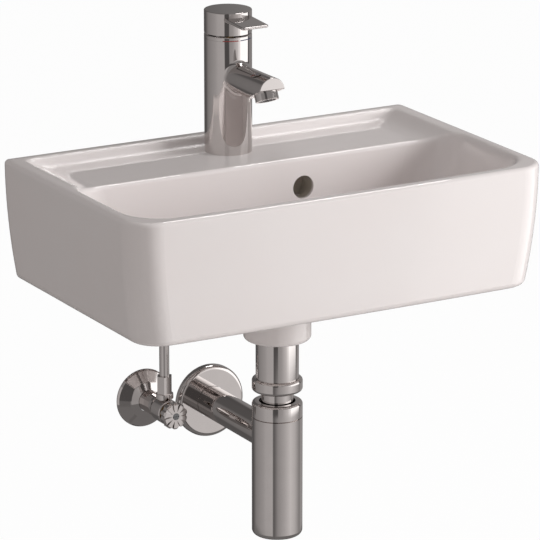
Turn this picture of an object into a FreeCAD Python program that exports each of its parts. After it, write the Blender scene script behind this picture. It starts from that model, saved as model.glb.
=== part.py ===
"""Wall-hung washbasin with a single-lever tap, an angle valve and a bottle trap.

Millimetres, +Z up. The wall is the plane y = 0 and the user stands on the -Y side.
The origin lies on the wall, midway between the two fixing studs.
Names that end in _drop are measured down from the rim, _setback forward from the wall.
"""
import FreeCAD
import Part
import Sketcher

import math
import os
from types import SimpleNamespace

SIZES = {
    # Basin casting
    "basin_width": 450,
    "basin_depth": 280,
    "rim_height": 60,
    "apron_height": 121,
    "front_bow": 3,
    "front_corner": 30,
    "rear_corner": 8,
    "side_draw": 11.4,
    "front_draw": 4.5,
    "shell_wall": 11,
    "back_wall": 14,
    "back_grind": 0.5,
    "rim_width": 13,
    "rim_round": 4,
    "apron_round": 6,
    # Tap deck and bowl
    "deck_drop": 10,
    "deck_wall": 13,
    "upstand": 15,
    "deck_reach": 105,
    "deck_half_width": 176,
    "deck_swoop": 33,
    "bowl_corner": 40,
    "bowl_side_draw": 30,
    "bowl_front_draw": 24,
    "bowl_rear_draw": 2,
    "bowl_floor_round": 12,
    "floor_tilt": 3,
    # Drain boss and overflow
    "drain_setback": 142,
    "drain_drop": 118,
    "drain_recess": 3,
    "boss_diameter": 66.5,
    "boss_drop": 177,
    "boss_round": 4,
    "waste_bore": 46,
    "collar_bore": 54,
    "collar_depth": 19,
    "overflow_offset": 50,
    "overflow_drop": 40,
    "overflow_bore": 23,
    "duct_width": 34,
    "duct_depth": 16,
    "duct_wall": 6,
    # Wall fixing
    "stud_spacing": 280,
    "stud_diameter": 10,
    "stud_thread": 9.5,
    "stud_in_wall": 60,
    "stud_hole": 14,
    "bush_flange": 28,
    "bush_flange_thickness": 3,
    "stud_washer_diameter": 24,
    "stud_washer_thickness": 2,
    "stud_nut_flats": 17,
    "stud_nut_height": 8,
    "stud_end": 6,
    # Tap body and spout
    "tap_setback": 44.5,
    "tap_hole": 35,
    "tap_diameter": 47,
    "tap_height": 118.5,
    "tap_chamfer": 0.9,
    "mark_groove_drop": 3.3,
    "mark_groove_height": 1,
    "mark_groove_depth": 0.3,
    "tap_seal_radius": 21.5,
    "tap_seal_width": 2.5,
    "tap_seal_height": 1.6,
    "spout_height": 77.4,
    "spout_diameter": 28,
    "spout_reach": 87.8,
    "spout_channel": 12,
    "spout_blend": 5,
    "spout_edge": 0.7,
    "outlet_tilt": 24,
    "outlet_reach": 78,
    "outlet_height": 66.6,
    "aerator_diameter": 23,
    "aerator_height": 7.6,
    "aerator_thread": 19.8,
    "aerator_wall": 1.1,
    "aerator_hole": 2.2,
    # Cartridge in the tap
    "cartridge_seat": 72,
    "cartridge_diameter": 35,
    "cartridge_shoulder": 104,
    "cartridge_top": 110,
    "collar_diameter": 28,
    "cartridge_wall": 2.7,
    "outlet_chamber": 39,
    "chamber_top": 92,
    "nut_diameter": 37,
    "nut_bore_bottom": 102,
    "disc_level": 84,
    "disc_thickness": 6,
    "moving_disc_diameter": 19,
    "moving_disc_thickness": 7.2,
    "carrier_bottom": 97.5,
    "carrier_flange": 28.6,
    "carrier_flange_height": 3,
    "carrier_diameter": 22.8,
    "carrier_top": 112,
    "pivot_drop": 10.9,
    "pin_diameter": 4,
    "stem_width": 8,
    "stem_tip_width": 6,
    "stem_tip_drop": 14.3,
    "stem_tip_length": 5.5,
    "stem_rise": 25,
    # Lever
    "lever_gap": 1.2,
    "cap_height": 22.3,
    "cap_wall": 2.5,
    "cap_roof": 5,
    "cap_lip": 0.3,
    "cap_bevel": 4.2,
    "socket_diameter": 15,
    "blade_width": 29.3,
    "blade_reach": 56,
    "blade_drop": 4.3,
    "blade_fall": 2.4,
    "blade_root": 3.6,
    "blade_tip": 2.5,
    "blade_corner": 3,
    "lever_screw_diameter": 5,
    "lever_screw_height": 8.5,
    # Tap fixing below the deck
    "inlet_offset": 9,
    "inlet_forward": 1.5,
    "inlet_depth": 14,
    "port_diameter": 6.4,
    "tap_stud_diameter": 8,
    "tap_stud_back": 12.5,
    "tap_stud_in_body": 20,
    "clamp_diameter": 48,
    "clamp_slot": 29.4,
    "clamp_slot_back": 4.6,
    "clamp_thickness": 3,
    "tap_nut_flats": 13,
    "tap_nut_height": 18,
    # Supply tube and angle valve
    "tube_diameter": 10,
    "tube_wall": 1,
    "tube_bend": 50,
    "tube_straight": 30,
    "valve_offset": 73.9,
    "valve_drop": 267,
    "valve_tail": 18,
    "valve_thread": 20.95,
    "valve_tube": 22,
    "valve_head": 25,
    "valve_bore": 12,
    "valve_seat": 8,
    "seat_reach": 40,
    "valve_chamber": 16,
    "valve_front": 57,
    "neck_diameter": 12,
    "neck_height": 28,
    "nut_base": 13,
    "nut_collar": 17.5,
    "nut_collar_height": 5,
    "nut_flats": 14,
    "nut_top": 36,
    "ring_height": 2,
    "disc_carrier_height": 6,
    "disc_washer_thickness": 2,
    "gland_flats": 19,
    "gland_head": 3.5,
    "gland_thread": 4,
    "spindle_diameter": 8,
    "spindle_end": 66,
    "knob_diameter": 27,
    "knob_back": 61.5,
    "knob_length": 8.5,
    "knob_flutes": 10,
    "flute_radius": 3.6,
    "knob_screw_head": 7,
    "valve_rosette_diameter": 60,
    "valve_rosette_height": 12,
    "rosette_wall": 1.5,
    # Waste fitting
    "flange_diameter": 62,
    "flange_thickness": 3,
    "flange_seal_thickness": 1.5,
    "shank_diameter": 38,
    "shank_wall": 2.5,
    "shank_length": 50,
    "slot_width": 9,
    "slot_height": 12,
    "web_height": 7,
    "web_spoke": 3,
    "hub_diameter": 20,
    "guide_diameter": 14,
    "guide_length": 24,
    "plug_diameter": 53,
    "plug_thickness": 2.6,
    "plug_stem_diameter": 8,
    "plug_stem_length": 46,
    "plug_seal_diameter": 48,
    "plug_seal_width": 3,
    "plug_seal_thickness": 1.6,
    "lower_seal_thickness": 3,
    "sleeve_nut_diameter": 52,
    "sleeve_nut_height": 9,
    "sleeve_diameter": 42.4,
    "sleeve_drop": 219,
    "sleeve_wall": 2.7,
    # Bottle trap
    "union_diameter": 50,
    "union_drop": 217,
    "union_height": 13,
    "union_round": 3,
    "gasket_thickness": 2,
    "waste_tube": 32,
    "waste_tube_wall": 1.5,
    "dip_collar_thickness": 2,
    "dip_tube_drop": 345,
    "trap_cap_drop": 241,
    "trap_cap_roof": 4.8,
    "trap_cap_opening": 36,
    "trap_diameter": 50,
    "trap_shoulder_drop": 257,
    "trap_bottom_drop": 379,
    "trap_wall": 2,
    "trap_round": 5,
    "trap_neck_diameter": 44,
    "trap_neck_height": 8,
    "cone_seal_height": 6,
    "outlet_drop": 281,
    "outlet_in_wall": 30,
    "outlet_end": 31.4,
    "waste_rosette_diameter": 75,
    "waste_rosette_height": 8,
    "waste_rosette_round": 4,
    # Fits
    "thread_gap": 0.05,
    "slide_gap": 0.1,
    "seat_gap": 0.3,
    "loose_gap": 0.3,
}

# Corner radius of a hexagon for a distance of 1 across its flats
HEX_CORNER = 1 / math.sqrt(3)
X_AXIS = FreeCAD.Vector(1, 0, 0)
Z_AXIS = FreeCAD.Vector(0, 0, 1)
# Turns a piece so that its own +Z points out of the wall and its own +Y points up
OUT_OF_WALL = FreeCAD.Rotation(X_AXIS, 90)
# Turns a piece so that its own +Z points into the wall
INTO_WALL = FreeCAD.Rotation(X_AXIS, -90)

doc = FreeCAD.newDocument("washbasin")
sheet = doc.addObject("Spreadsheet::Sheet", "Sizes")
nodes = []


class Size:
    """A number together with the sheet formula that gives it."""

    def __init__(self, number, formula):
        self.number = float(number)
        self.formula = formula

    def __float__(self):
        return self.number

    def __neg__(self):
        return Size(-self.number, f"(-{self.formula})")

    def __add__(self, other):
        other = as_size(other)
        return Size(self.number + other.number, f"({self.formula} + {other.formula})")

    def __sub__(self, other):
        other = as_size(other)
        return Size(self.number - other.number, f"({self.formula} - {other.formula})")

    def __mul__(self, other):
        other = as_size(other)
        return Size(self.number * other.number, f"({self.formula} * {other.formula})")

    def __truediv__(self, other):
        other = as_size(other)
        return Size(self.number / other.number, f"({self.formula} / {other.formula})")


def as_size(value):
    """A plain number as a Size that no cell drives."""
    if isinstance(value, Size):
        return value
    return Size(value, f"({float(value)})")


def tangent(angle):
    return Size(math.tan(math.radians(float(angle))), f"tan({angle.formula} * 1deg)")


def cosine(angle):
    return Size(math.cos(math.radians(float(angle))), f"cos({angle.formula} * 1deg)")


def sine(angle):
    return Size(math.sin(math.radians(float(angle))), f"sin({angle.formula} * 1deg)")


def fill_sheet():
    """Write each driving size and its alias into the sheet, and hand the sizes back by name."""
    sizes = {}
    for row, (name, value) in enumerate(SIZES.items(), start=1):
        sheet.set(f"A{row}", name)
        sheet.set(f"B{row}", str(value))
        sheet.setAlias(f"B{row}", name)
        sizes[name] = Size(value, f"Sizes.{name}")
    doc.recompute()
    return SimpleNamespace(**sizes)


def bind(thing, path, size):
    thing.setExpression(path, as_size(size).formula)


def point(x, y):
    return FreeCAD.Vector(float(x), float(y), 0)


def new_body(name, x=0, y=0, z=0, rotation=FreeCAD.Rotation()):
    """An empty body at a place that the sheet drives."""
    body = doc.addObject("PartDesign::Body", name)
    body.Label = name
    body.Placement = FreeCAD.Placement(FreeCAD.Vector(), rotation)
    bind(body, "Placement.Base.x", x)
    bind(body, "Placement.Base.y", y)
    bind(body, "Placement.Base.z", z)
    return body


def keep(body):
    """List a finished piece as a node of its own."""
    nodes.append(body)
    return body


def keep_pair(body, name):
    """List a piece and its mirror image across the middle plane as one node."""
    twin = doc.addObject("Part::Mirroring", name + "_twin")
    twin.Source = body
    twin.Normal = X_AXIS
    pair = doc.addObject("Part::Compound", name)
    pair.Links = [body, twin]
    pair.Label = name
    nodes.append(pair)


def sketch_on(body, role, offset=0):
    """A sketch on one of the body's own planes, moved along that plane's normal."""
    sketch = body.newObject("Sketcher::SketchObject", body.Name + "_sketch")
    plane = next(f for f in body.Origin.OriginFeatures if f.Role == role)
    sketch.AttachmentSupport = [(plane, "")]
    sketch.MapMode = "FlatFace"
    bind(sketch, "AttachmentOffset.Base.z", offset)
    return sketch


def hold(sketch, constraint, size):
    """Add one dimension to a sketch and let the sheet drive it."""
    index = sketch.addConstraint(constraint)
    bind(sketch, f"Constraints[{index}]", size)


def hold_point(sketch, edge, end, x, y):
    hold(sketch, Sketcher.Constraint("DistanceX", -1, 1, edge, end, float(x)), x)
    hold(sketch, Sketcher.Constraint("DistanceY", -1, 1, edge, end, float(y)), y)


def polygon(sketch, corners):
    """A closed outline of straight lines, each corner held by its two distances."""
    first = sketch.GeometryCount
    count = len(corners)
    following = corners[1:] + corners[:1]
    sketch.addGeometry([Part.LineSegment(point(*a), point(*b)) for a, b in zip(corners, following)])
    sketch.addConstraint(
        [Sketcher.Constraint("Coincident", first + i, 2, first + (i + 1) % count, 1) for i in range(count)])
    for i, (x, y) in enumerate(corners):
        hold_point(sketch, first + i, 1, x, y)


def rectangle(sketch, left, right, low, high):
    polygon(sketch, [(left, low), (right, low), (right, high), (left, high)])


def circle(sketch, x, y, radius):
    edge = sketch.addGeometry(Part.Circle(point(x, y), Z_AXIS, float(radius)))
    hold_point(sketch, edge, 3, x, y)
    hold(sketch, Sketcher.Constraint("Radius", edge, float(radius)), radius)


def hexagon(sketch, flats):
    corner = flats * HEX_CORNER
    half = flats / 2
    near = corner / 2
    polygon(sketch, [(corner, as_size(0)), (near, half), (-near, half),
                     (-corner, as_size(0)), (-near, -half), (near, -half)])


def capsule(sketch, start, end, radius):
    """A slot outline: two half circles about start and end, joined by tangent lines."""
    along = FreeCAD.Vector(*map(float, end), 0) - FreeCAD.Vector(*map(float, start), 0)
    heading = math.atan2(along.y, along.x)
    side = FreeCAD.Vector(-math.sin(heading), math.cos(heading), 0) * float(radius)
    a, b = point(*start), point(*end)
    quarter = math.pi / 2
    start_circle = Part.Circle(a, Z_AXIS, float(radius))
    end_circle = Part.Circle(b, Z_AXIS, float(radius))
    start_arc = Part.ArcOfCircle(start_circle, heading + quarter, heading + 3 * quarter)
    end_arc = Part.ArcOfCircle(end_circle, heading - quarter, heading + quarter)
    sketch.addGeometry([start_arc, Part.LineSegment(a - side, b - side), end_arc,
                        Part.LineSegment(b + side, a + side)])
    sketch.addConstraint([Sketcher.Constraint("Tangent", i, 2, (i + 1) % 4, 1) for i in range(4)])
    sketch.addConstraint(Sketcher.Constraint("Equal", 0, 2))
    hold_point(sketch, 0, 3, *start)
    hold_point(sketch, 2, 3, *end)
    hold(sketch, Sketcher.Constraint("Radius", 0, float(radius)), radius)


def feature(body, kind, sketch):
    solid = body.newObject("PartDesign::" + kind, body.Name + "_" + kind.lower())
    solid.Profile = sketch
    return solid


def turn(body, corners, kind="Revolution"):
    """Revolve a profile of (radius, height) corners about the body's own Z axis."""
    sketch = sketch_on(body, "XZ_Plane")
    polygon(sketch, corners)
    solid = feature(body, kind, sketch)
    solid.ReferenceAxis = (sketch, ["V_Axis"])
    solid.Angle = 360
    return solid


def pad(body, sketch, length, both_ways=False):
    solid = feature(body, "Pad", sketch)
    if both_ways:
        solid.SideType = "Symmetric"
    bind(solid, "Length", length)
    return solid


def cut(body, sketch, length=None, forward=False):
    """Cut a sketch out of a body against its normal, or along it, or right through both ways."""
    doc.recompute()
    before = body.Tip.Shape.Volume
    hole = feature(body, "Pocket", sketch)
    if length is None:
        hole.SideType = "Symmetric"
        hole.Type = "ThroughAll"
    else:
        hole.Reversed = forward
        bind(hole, "Length", length)
    doc.recompute()
    if hole.Shape.isNull() or hole.Shape.Volume > before - 0.001:
        raise RuntimeError(f"a cut in {body.Name} takes nothing away")
    return hole


def spread(body, original, count):
    """Repeat a feature round the body's own Z axis."""
    pattern = body.newObject("PartDesign::PolarPattern", body.Name + "_pattern")
    pattern.Originals = [original]
    pattern.Axis = (original.Profile[0], ["N_Axis"])
    pattern.Angle = 360
    bind(pattern, "Occurrences", count)
    body.Tip = pattern
    doc.recompute()
    return pattern


def soften(body, kind, size, wanted):
    """Fillet or chamfer every edge of the body that the test picks."""
    doc.recompute()
    base = body.Tip
    names = [f"Edge{i}" for i, edge in enumerate(base.Shape.Edges, start=1) if wanted(edge)]
    if not names:
        raise RuntimeError(f"no edge of {body.Name} to soften")
    edge_work = body.newObject("PartDesign::" + kind, body.Name + "_" + kind.lower())
    edge_work.Base = (base, names)
    bind(edge_work, "Radius" if kind == "Fillet" else "Size", size)
    doc.recompute()
    return edge_work


def ring_at(radius, height):
    """A test for the circular edge of a turned piece at a radius and height."""
    def wanted(edge):
        curve = edge.Curve
        return (isinstance(curve, Part.Circle) and abs(curve.Radius - float(radius)) < 0.01
                and abs(edge.CenterOfMass.z - float(height)) < 0.01)
    return wanted


def same_edge(edges):
    return lambda edge: any(edge.isSame(other) for other in edges)


def flat_faces(shape, height):
    """The faces of a shape that lie flat at a height."""
    level = float(height)

    def lies_flat(box):
        return abs(box.ZMin - level) < 0.01 and abs(box.ZMax - level) < 0.01
    return [face for face in shape.Faces if lies_flat(face.BoundBox)]


def turned(name, corners, x=0, y=0, z=0, rotation=FreeCAD.Rotation()):
    body = new_body(name, x, y, z, rotation)
    turn(body, corners)
    return body


def tube(low, high, inner, outer):
    """The profile of a plain ring or tube."""
    return [(as_size(inner), as_size(low)), (as_size(outer), as_size(low)),
            (as_size(outer), as_size(high)), (as_size(inner), as_size(high))]


def hex_nut(name, flats, bore, low, high, x=0, y=0, z=0, rotation=FreeCAD.Rotation()):
    body = new_body(name, x, y, z, rotation)
    sketch = sketch_on(body, "XY_Plane", low)
    hexagon(sketch, flats)
    circle(sketch, as_size(0), as_size(0), bore)
    pad(body, sketch, as_size(high) - low)
    return body


s = fill_sheet()
ZERO = as_size(0)

# Places that several pieces share
rim = s.rim_height
deck = rim - s.deck_drop
tap_y = -s.tap_setback
drain_y = -s.drain_setback
lever_base = s.tap_height + s.lever_gap
pivot_height = lever_base - s.pivot_drop
cap_top = lever_base + s.cap_height
inlet_y = tap_y - s.inlet_forward
valve_reach = s.tap_setback + s.inlet_forward
valve_z = rim - s.valve_drop
seat_drop = s.drain_drop + s.drain_recess
collar_seat_drop = s.boss_drop - s.collar_depth
tube_radius = s.tube_diameter / 2
waste_radius = s.waste_tube / 2


def basin_outline(sketch, half, back, front, back_round, front_round):
    """A rectangle with rounded corners whose front side is a shallow arc."""
    bow_radius = (half * half + s.front_bow * s.front_bow) / (s.front_bow * 2)
    hw, yb, yf = float(half), float(back), float(front)
    rb, rf, big = float(back_round), float(front_round), float(bow_radius)
    bow_centre = yf + big
    corner_x = hw - rf
    corner_y = bow_centre - math.sqrt((big - rf) ** 2 - corner_x ** 2)
    lean = math.atan2(corner_y - bow_centre, corner_x)

    def arc(x, y, radius, start, end):
        return Part.ArcOfCircle(Part.Circle(FreeCAD.Vector(x, y, 0), Z_AXIS, radius), start, end)

    def line(x1, y1, x2, y2):
        return Part.LineSegment(FreeCAD.Vector(x1, y1, 0), FreeCAD.Vector(x2, y2, 0))

    sketch.addGeometry([
        line(rb - hw, yb, hw - rb, yb),
        arc(hw - rb, yb - rb, rb, 0, math.pi / 2),
        line(hw, corner_y, hw, yb - rb),
        arc(corner_x, corner_y, rf, lean, 0),
        arc(0, bow_centre, big, -math.pi - lean, lean),
        arc(-corner_x, corner_y, rf, math.pi, math.pi - lean),
        line(-hw, yb - rb, -hw, corner_y),
        arc(rb - hw, yb - rb, rb, math.pi / 2, math.pi),
    ])
    joints = [(0, 2, 1, 2), (1, 1, 2, 2), (2, 1, 3, 2), (3, 1, 4, 2),
              (4, 1, 5, 2), (5, 1, 6, 2), (6, 1, 7, 2), (7, 1, 0, 1)]
    sketch.addConstraint([Sketcher.Constraint("Tangent", *joint) for joint in joints])
    sketch.addConstraint([
        Sketcher.Constraint("Horizontal", 0), Sketcher.Constraint("Vertical", 2),
        Sketcher.Constraint("Vertical", 6), Sketcher.Constraint("Equal", 1, 7),
        Sketcher.Constraint("Equal", 3, 5), Sketcher.Constraint("PointOnObject", 4, 3, -2)])
    hold(sketch, Sketcher.Constraint("Radius", 1, rb), back_round)
    hold(sketch, Sketcher.Constraint("Radius", 3, rf), front_round)
    hold(sketch, Sketcher.Constraint("Radius", 4, big), bow_radius)
    hold(sketch, Sketcher.Constraint("DistanceX", -1, 1, 2, 1, hw), half)
    hold(sketch, Sketcher.Constraint("DistanceX", -1, 1, 6, 1, -hw), -half)
    hold(sketch, Sketcher.Constraint("DistanceY", -1, 1, 0, 1, yb), back)
    hold(sketch, Sketcher.Constraint("DistanceY", -1, 1, 4, 3, bow_centre), front + bow_radius)


def shell_section(body, drop, inset, back, back_round):
    """One level of the apron: its sides and front draw in with the square of the depth."""
    share = drop / s.apron_height
    draw = share * share
    sketch = sketch_on(body, "XY_Plane", -drop)
    basin_outline(sketch, s.basin_width / 2 - s.side_draw * draw - inset, back,
                  -(s.basin_depth - s.front_draw * draw - inset), back_round, s.front_corner - inset)
    return sketch


def bowl_section(body, grow, at_floor):
    """The bowl's outline at the rim or on its tilted floor, grown by a wall thickness."""
    share = as_size(1 if at_floor else 0)
    drop = ZERO
    if at_floor:
        drop = s.drain_drop + grow + s.drain_setback * tangent(s.floor_tilt)
    sketch = sketch_on(body, "XY_Plane", -drop)
    if at_floor:
        sketch.AttachmentOffset = FreeCAD.Placement(
            FreeCAD.Vector(0, 0, -float(drop)), FreeCAD.Rotation(X_AXIS, -float(s.floor_tilt)))
    basin_outline(sketch, s.basin_width / 2 - s.rim_width - s.bowl_side_draw * share + grow,
                  -(s.deck_reach + s.bowl_rear_draw * share - grow),
                  -(s.basin_depth - s.rim_width - s.bowl_front_draw * share + grow),
                  s.bowl_corner + grow, s.bowl_corner + grow)
    return sketch


def loft(body, kind, sections, ruled):
    solid = feature(body, kind, sections[0])
    solid.Sections = sections[1:]
    solid.Ruled = ruled
    doc.recompute()
    return solid


def make_basin():
    """The casting: apron, rim, sunken deck, bowl, drain boss and the overflow duct behind the bowl."""
    body = new_body("basin", z=rim)
    levels = (ZERO, s.apron_height / 2, s.apron_height)
    loft(body, "AdditiveLoft",
         [shell_section(body, drop, ZERO, s.back_grind, s.rear_corner) for drop in levels], ruled=False)

    # The back is ground flat to the wall
    ground = sketch_on(body, "XZ_Plane")
    rectangle(ground, -s.basin_width, s.basin_width, -s.apron_height * 2, s.apron_height)
    cut(body, ground, s.back_grind * 2)

    # The open hollow under the deck, between the apron and the bowl
    roof = s.deck_drop + s.deck_wall
    loft(body, "SubtractiveLoft",
         [shell_section(body, drop, s.shell_wall, -s.back_wall, s.rear_corner)
          for drop in (s.apron_height, (s.apron_height + roof) / 2, roof)], ruled=False)
    soften(body, "Fillet", s.apron_round, same_edge(
        flat_faces(body.Tip.Shape, -s.apron_height)[0].OuterWire.Edges))

    # The bowl's outside, its drain boss and the duct
    loft(body, "AdditiveLoft",
         [bowl_section(body, s.shell_wall, at_floor) for at_floor in (False, True)], ruled=True)
    boss = sketch_on(body, "XY_Plane", -s.boss_drop)
    circle(boss, ZERO, drain_y, s.boss_diameter / 2)
    pad(body, boss, s.boss_drop - s.drain_drop - s.drain_recess)
    duct_back = s.deck_reach - s.shell_wall - s.duct_depth
    duct_top = (s.overflow_offset, -s.overflow_drop)
    duct_low_drop = (seat_drop + collar_seat_drop) / 2
    duct_low = (ZERO, -duct_low_drop)
    duct = sketch_on(body, "XZ_Plane", duct_back)
    capsule(duct, duct_top, duct_low, s.duct_width / 2)
    pad(body, duct, s.duct_depth + s.duct_wall)
    link_radius = s.duct_width / 2 - s.duct_wall
    link = sketch_on(body, "XZ_Plane", duct_back)
    circle(link, *duct_low, s.duct_width / 2)
    pad(body, link, s.drain_setback - duct_back)
    soften(body, "Fillet", s.boss_round, ring_at(s.boss_diameter / 2, -s.boss_drop))

    # The bowl's inside
    loft(body, "SubtractiveLoft",
         [bowl_section(body, ZERO, at_floor) for at_floor in (False, True)], ruled=True)
    soften(body, "Fillet", s.bowl_floor_round, same_edge(bowl_floor(body.Tip.Shape).OuterWire.Edges))

    # The sunken deck sweeps up to the rim at both ends
    deck_sketch = sketch_on(body, "XZ_Plane", s.upstand)
    deck_outline(deck_sketch)
    cut(body, deck_sketch, s.deck_reach - s.upstand + s.bowl_corner, forward=True)
    soften_rim(body)

    # Holes for the tap, the waste, the overflow and the wall studs
    tap_hole = sketch_on(body, "XY_Plane")
    circle(tap_hole, ZERO, tap_y, s.tap_hole / 2)
    cut(body, tap_hole, roof + 1)
    recess = sketch_on(body, "XY_Plane", -seat_drop)
    circle(recess, ZERO, drain_y, s.flange_diameter / 2 + s.loose_gap)
    cut(body, recess, s.shell_wall, forward=True)
    waste = sketch_on(body, "XY_Plane", -s.boss_drop)
    circle(waste, ZERO, drain_y, s.waste_bore / 2)
    cut(body, waste, s.boss_drop - s.drain_drop + s.shell_wall, forward=True)
    collar = sketch_on(body, "XY_Plane", -s.boss_drop)
    circle(collar, ZERO, drain_y, s.collar_bore / 2)
    cut(body, collar, s.collar_depth, forward=True)
    channel = sketch_on(body, "XZ_Plane", duct_back + s.duct_wall)
    capsule(channel, duct_top, duct_low, link_radius)
    cut(body, channel, s.duct_depth - s.duct_wall, forward=True)
    drain_link = sketch_on(body, "XZ_Plane", duct_back + s.duct_wall)
    circle(drain_link, *duct_low, link_radius)
    cut(body, drain_link, s.drain_setback - duct_back - s.duct_wall, forward=True)
    overflow = sketch_on(body, "XZ_Plane", s.deck_reach + s.bowl_rear_draw)
    circle(overflow, *duct_top, s.overflow_bore / 2)
    cut(body, overflow, s.shell_wall + s.duct_depth - s.duct_wall)
    studs = sketch_on(body, "XZ_Plane")
    for side in (-1, 1):
        circle(studs, s.stud_spacing / 2 * side, -rim, s.stud_hole / 2)
    cut(body, studs, s.back_wall + 1, forward=True)
    return keep(body)


def bowl_floor(shape):
    """The bowl's tilted floor, which looks up from near the drain's level."""
    level = -float(s.drain_drop)
    slope = math.cos(math.radians(float(s.floor_tilt)))

    def looks_up(face):
        return (isinstance(face.Surface, Part.Plane) and abs(face.normalAt(0, 0).z - slope) < 0.0001
                and abs(face.CenterOfMass.z - level) < float(s.shell_wall))
    return next(face for face in shape.Faces if looks_up(face))


def soften_rim(body):
    """Round the rim inside and out, the deck's front edge and the foot of the upstand in one go."""
    shape = body.Tip.Shape
    deck_level = -float(s.deck_drop)
    edges = list(flat_faces(shape, 0)[0].Edges)
    for face in shape.Faces:
        box = face.BoundBox
        is_deck = abs(box.ZMin - deck_level) < 0.01 and box.YMax > -float(s.deck_reach)
        if is_deck:
            edges += [edge for edge in face.Edges if edge.BoundBox.XLength > 0.01]
    soften(body, "Fillet", s.rim_round, same_edge(edges))


def deck_outline(sketch):
    """Flat deck between two arcs that climb to the rim, closed above it."""
    swoop_radius = (s.deck_swoop * s.deck_swoop + s.deck_drop * s.deck_drop) / (s.deck_drop * 2)
    half, drop, run, radius = map(float, (s.deck_half_width, s.deck_drop, s.deck_swoop, swoop_radius))
    rise = math.asin(run / radius)
    edge = half + run

    def arc(side, start, end):
        middle = FreeCAD.Vector(side * half, radius - drop, 0)
        return Part.ArcOfCircle(Part.Circle(middle, Z_AXIS, radius), start, end)

    def line(x1, y1, x2, y2):
        return Part.LineSegment(FreeCAD.Vector(x1, y1, 0), FreeCAD.Vector(x2, y2, 0))

    sketch.addGeometry([
        line(-half, -drop, half, -drop),
        arc(1, -math.pi / 2, rise - math.pi / 2),
        line(edge, 0, edge, drop),
        line(edge, drop, -edge, drop),
        line(-edge, drop, -edge, 0),
        arc(-1, -math.pi / 2 - rise, -math.pi / 2),
    ])
    sketch.addConstraint([
        Sketcher.Constraint("Tangent", 0, 2, 1, 1), Sketcher.Constraint("Coincident", 1, 2, 2, 1),
        Sketcher.Constraint("Coincident", 2, 2, 3, 1), Sketcher.Constraint("Coincident", 3, 2, 4, 1),
        Sketcher.Constraint("Coincident", 4, 2, 5, 1), Sketcher.Constraint("Tangent", 5, 2, 0, 1),
        Sketcher.Constraint("Horizontal", 0), Sketcher.Constraint("Vertical", 2),
        Sketcher.Constraint("Horizontal", 3), Sketcher.Constraint("Vertical", 4),
        Sketcher.Constraint("Equal", 1, 5), Sketcher.Constraint("PointOnObject", 1, 2, -1),
        Sketcher.Constraint("PointOnObject", 5, 1, -1)])
    hold_point(sketch, 0, 1, -s.deck_half_width, -s.deck_drop)
    hold(sketch, Sketcher.Constraint("DistanceX", -1, 1, 0, 2, half), s.deck_half_width)
    hold(sketch, Sketcher.Constraint("Radius", 1, radius), swoop_radius)
    hold(sketch, Sketcher.Constraint("DistanceY", -1, 1, 3, 1, drop), s.deck_drop)


def make_wall_fixing():
    """Studs that stand out of the wall, and the bush, washer and nut that hold the casting on each."""
    place = {"x": s.stud_spacing / 2, "rotation": OUT_OF_WALL}
    stud_radius = s.stud_thread / 2
    washer_low = s.back_wall + s.bush_flange_thickness
    nut_low = washer_low + s.stud_washer_thickness
    nut_high = nut_low + s.stud_nut_height
    stud = turned("wall_stud", [
        (ZERO, -s.stud_in_wall), (s.stud_diameter / 2, -s.stud_in_wall), (s.stud_diameter / 2, ZERO),
        (stud_radius, ZERO), (stud_radius, nut_high + s.stud_end), (ZERO, nut_high + s.stud_end)], **place)
    soften(stud, "Chamfer", stud_radius / 4, ring_at(stud_radius, nut_high + s.stud_end))
    keep_pair(stud, "wall_studs")
    bore = stud_radius + s.loose_gap
    sleeve = s.stud_hole / 2 - s.loose_gap
    bush = turned("stud_bush", [(bore, s.loose_gap), (sleeve, s.loose_gap), (sleeve, s.back_wall),
                                (s.bush_flange / 2, s.back_wall), (s.bush_flange / 2, washer_low),
                                (bore, washer_low)], **place)
    keep_pair(bush, "stud_bushes")
    washer = turned("stud_washer", tube(washer_low, nut_low, bore, s.stud_washer_diameter / 2), **place)
    keep_pair(washer, "stud_washers")
    nut = hex_nut("stud_nut", s.stud_nut_flats, stud_radius + s.thread_gap, nut_low, nut_high, **place)
    keep_pair(nut, "stud_nuts")


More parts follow.
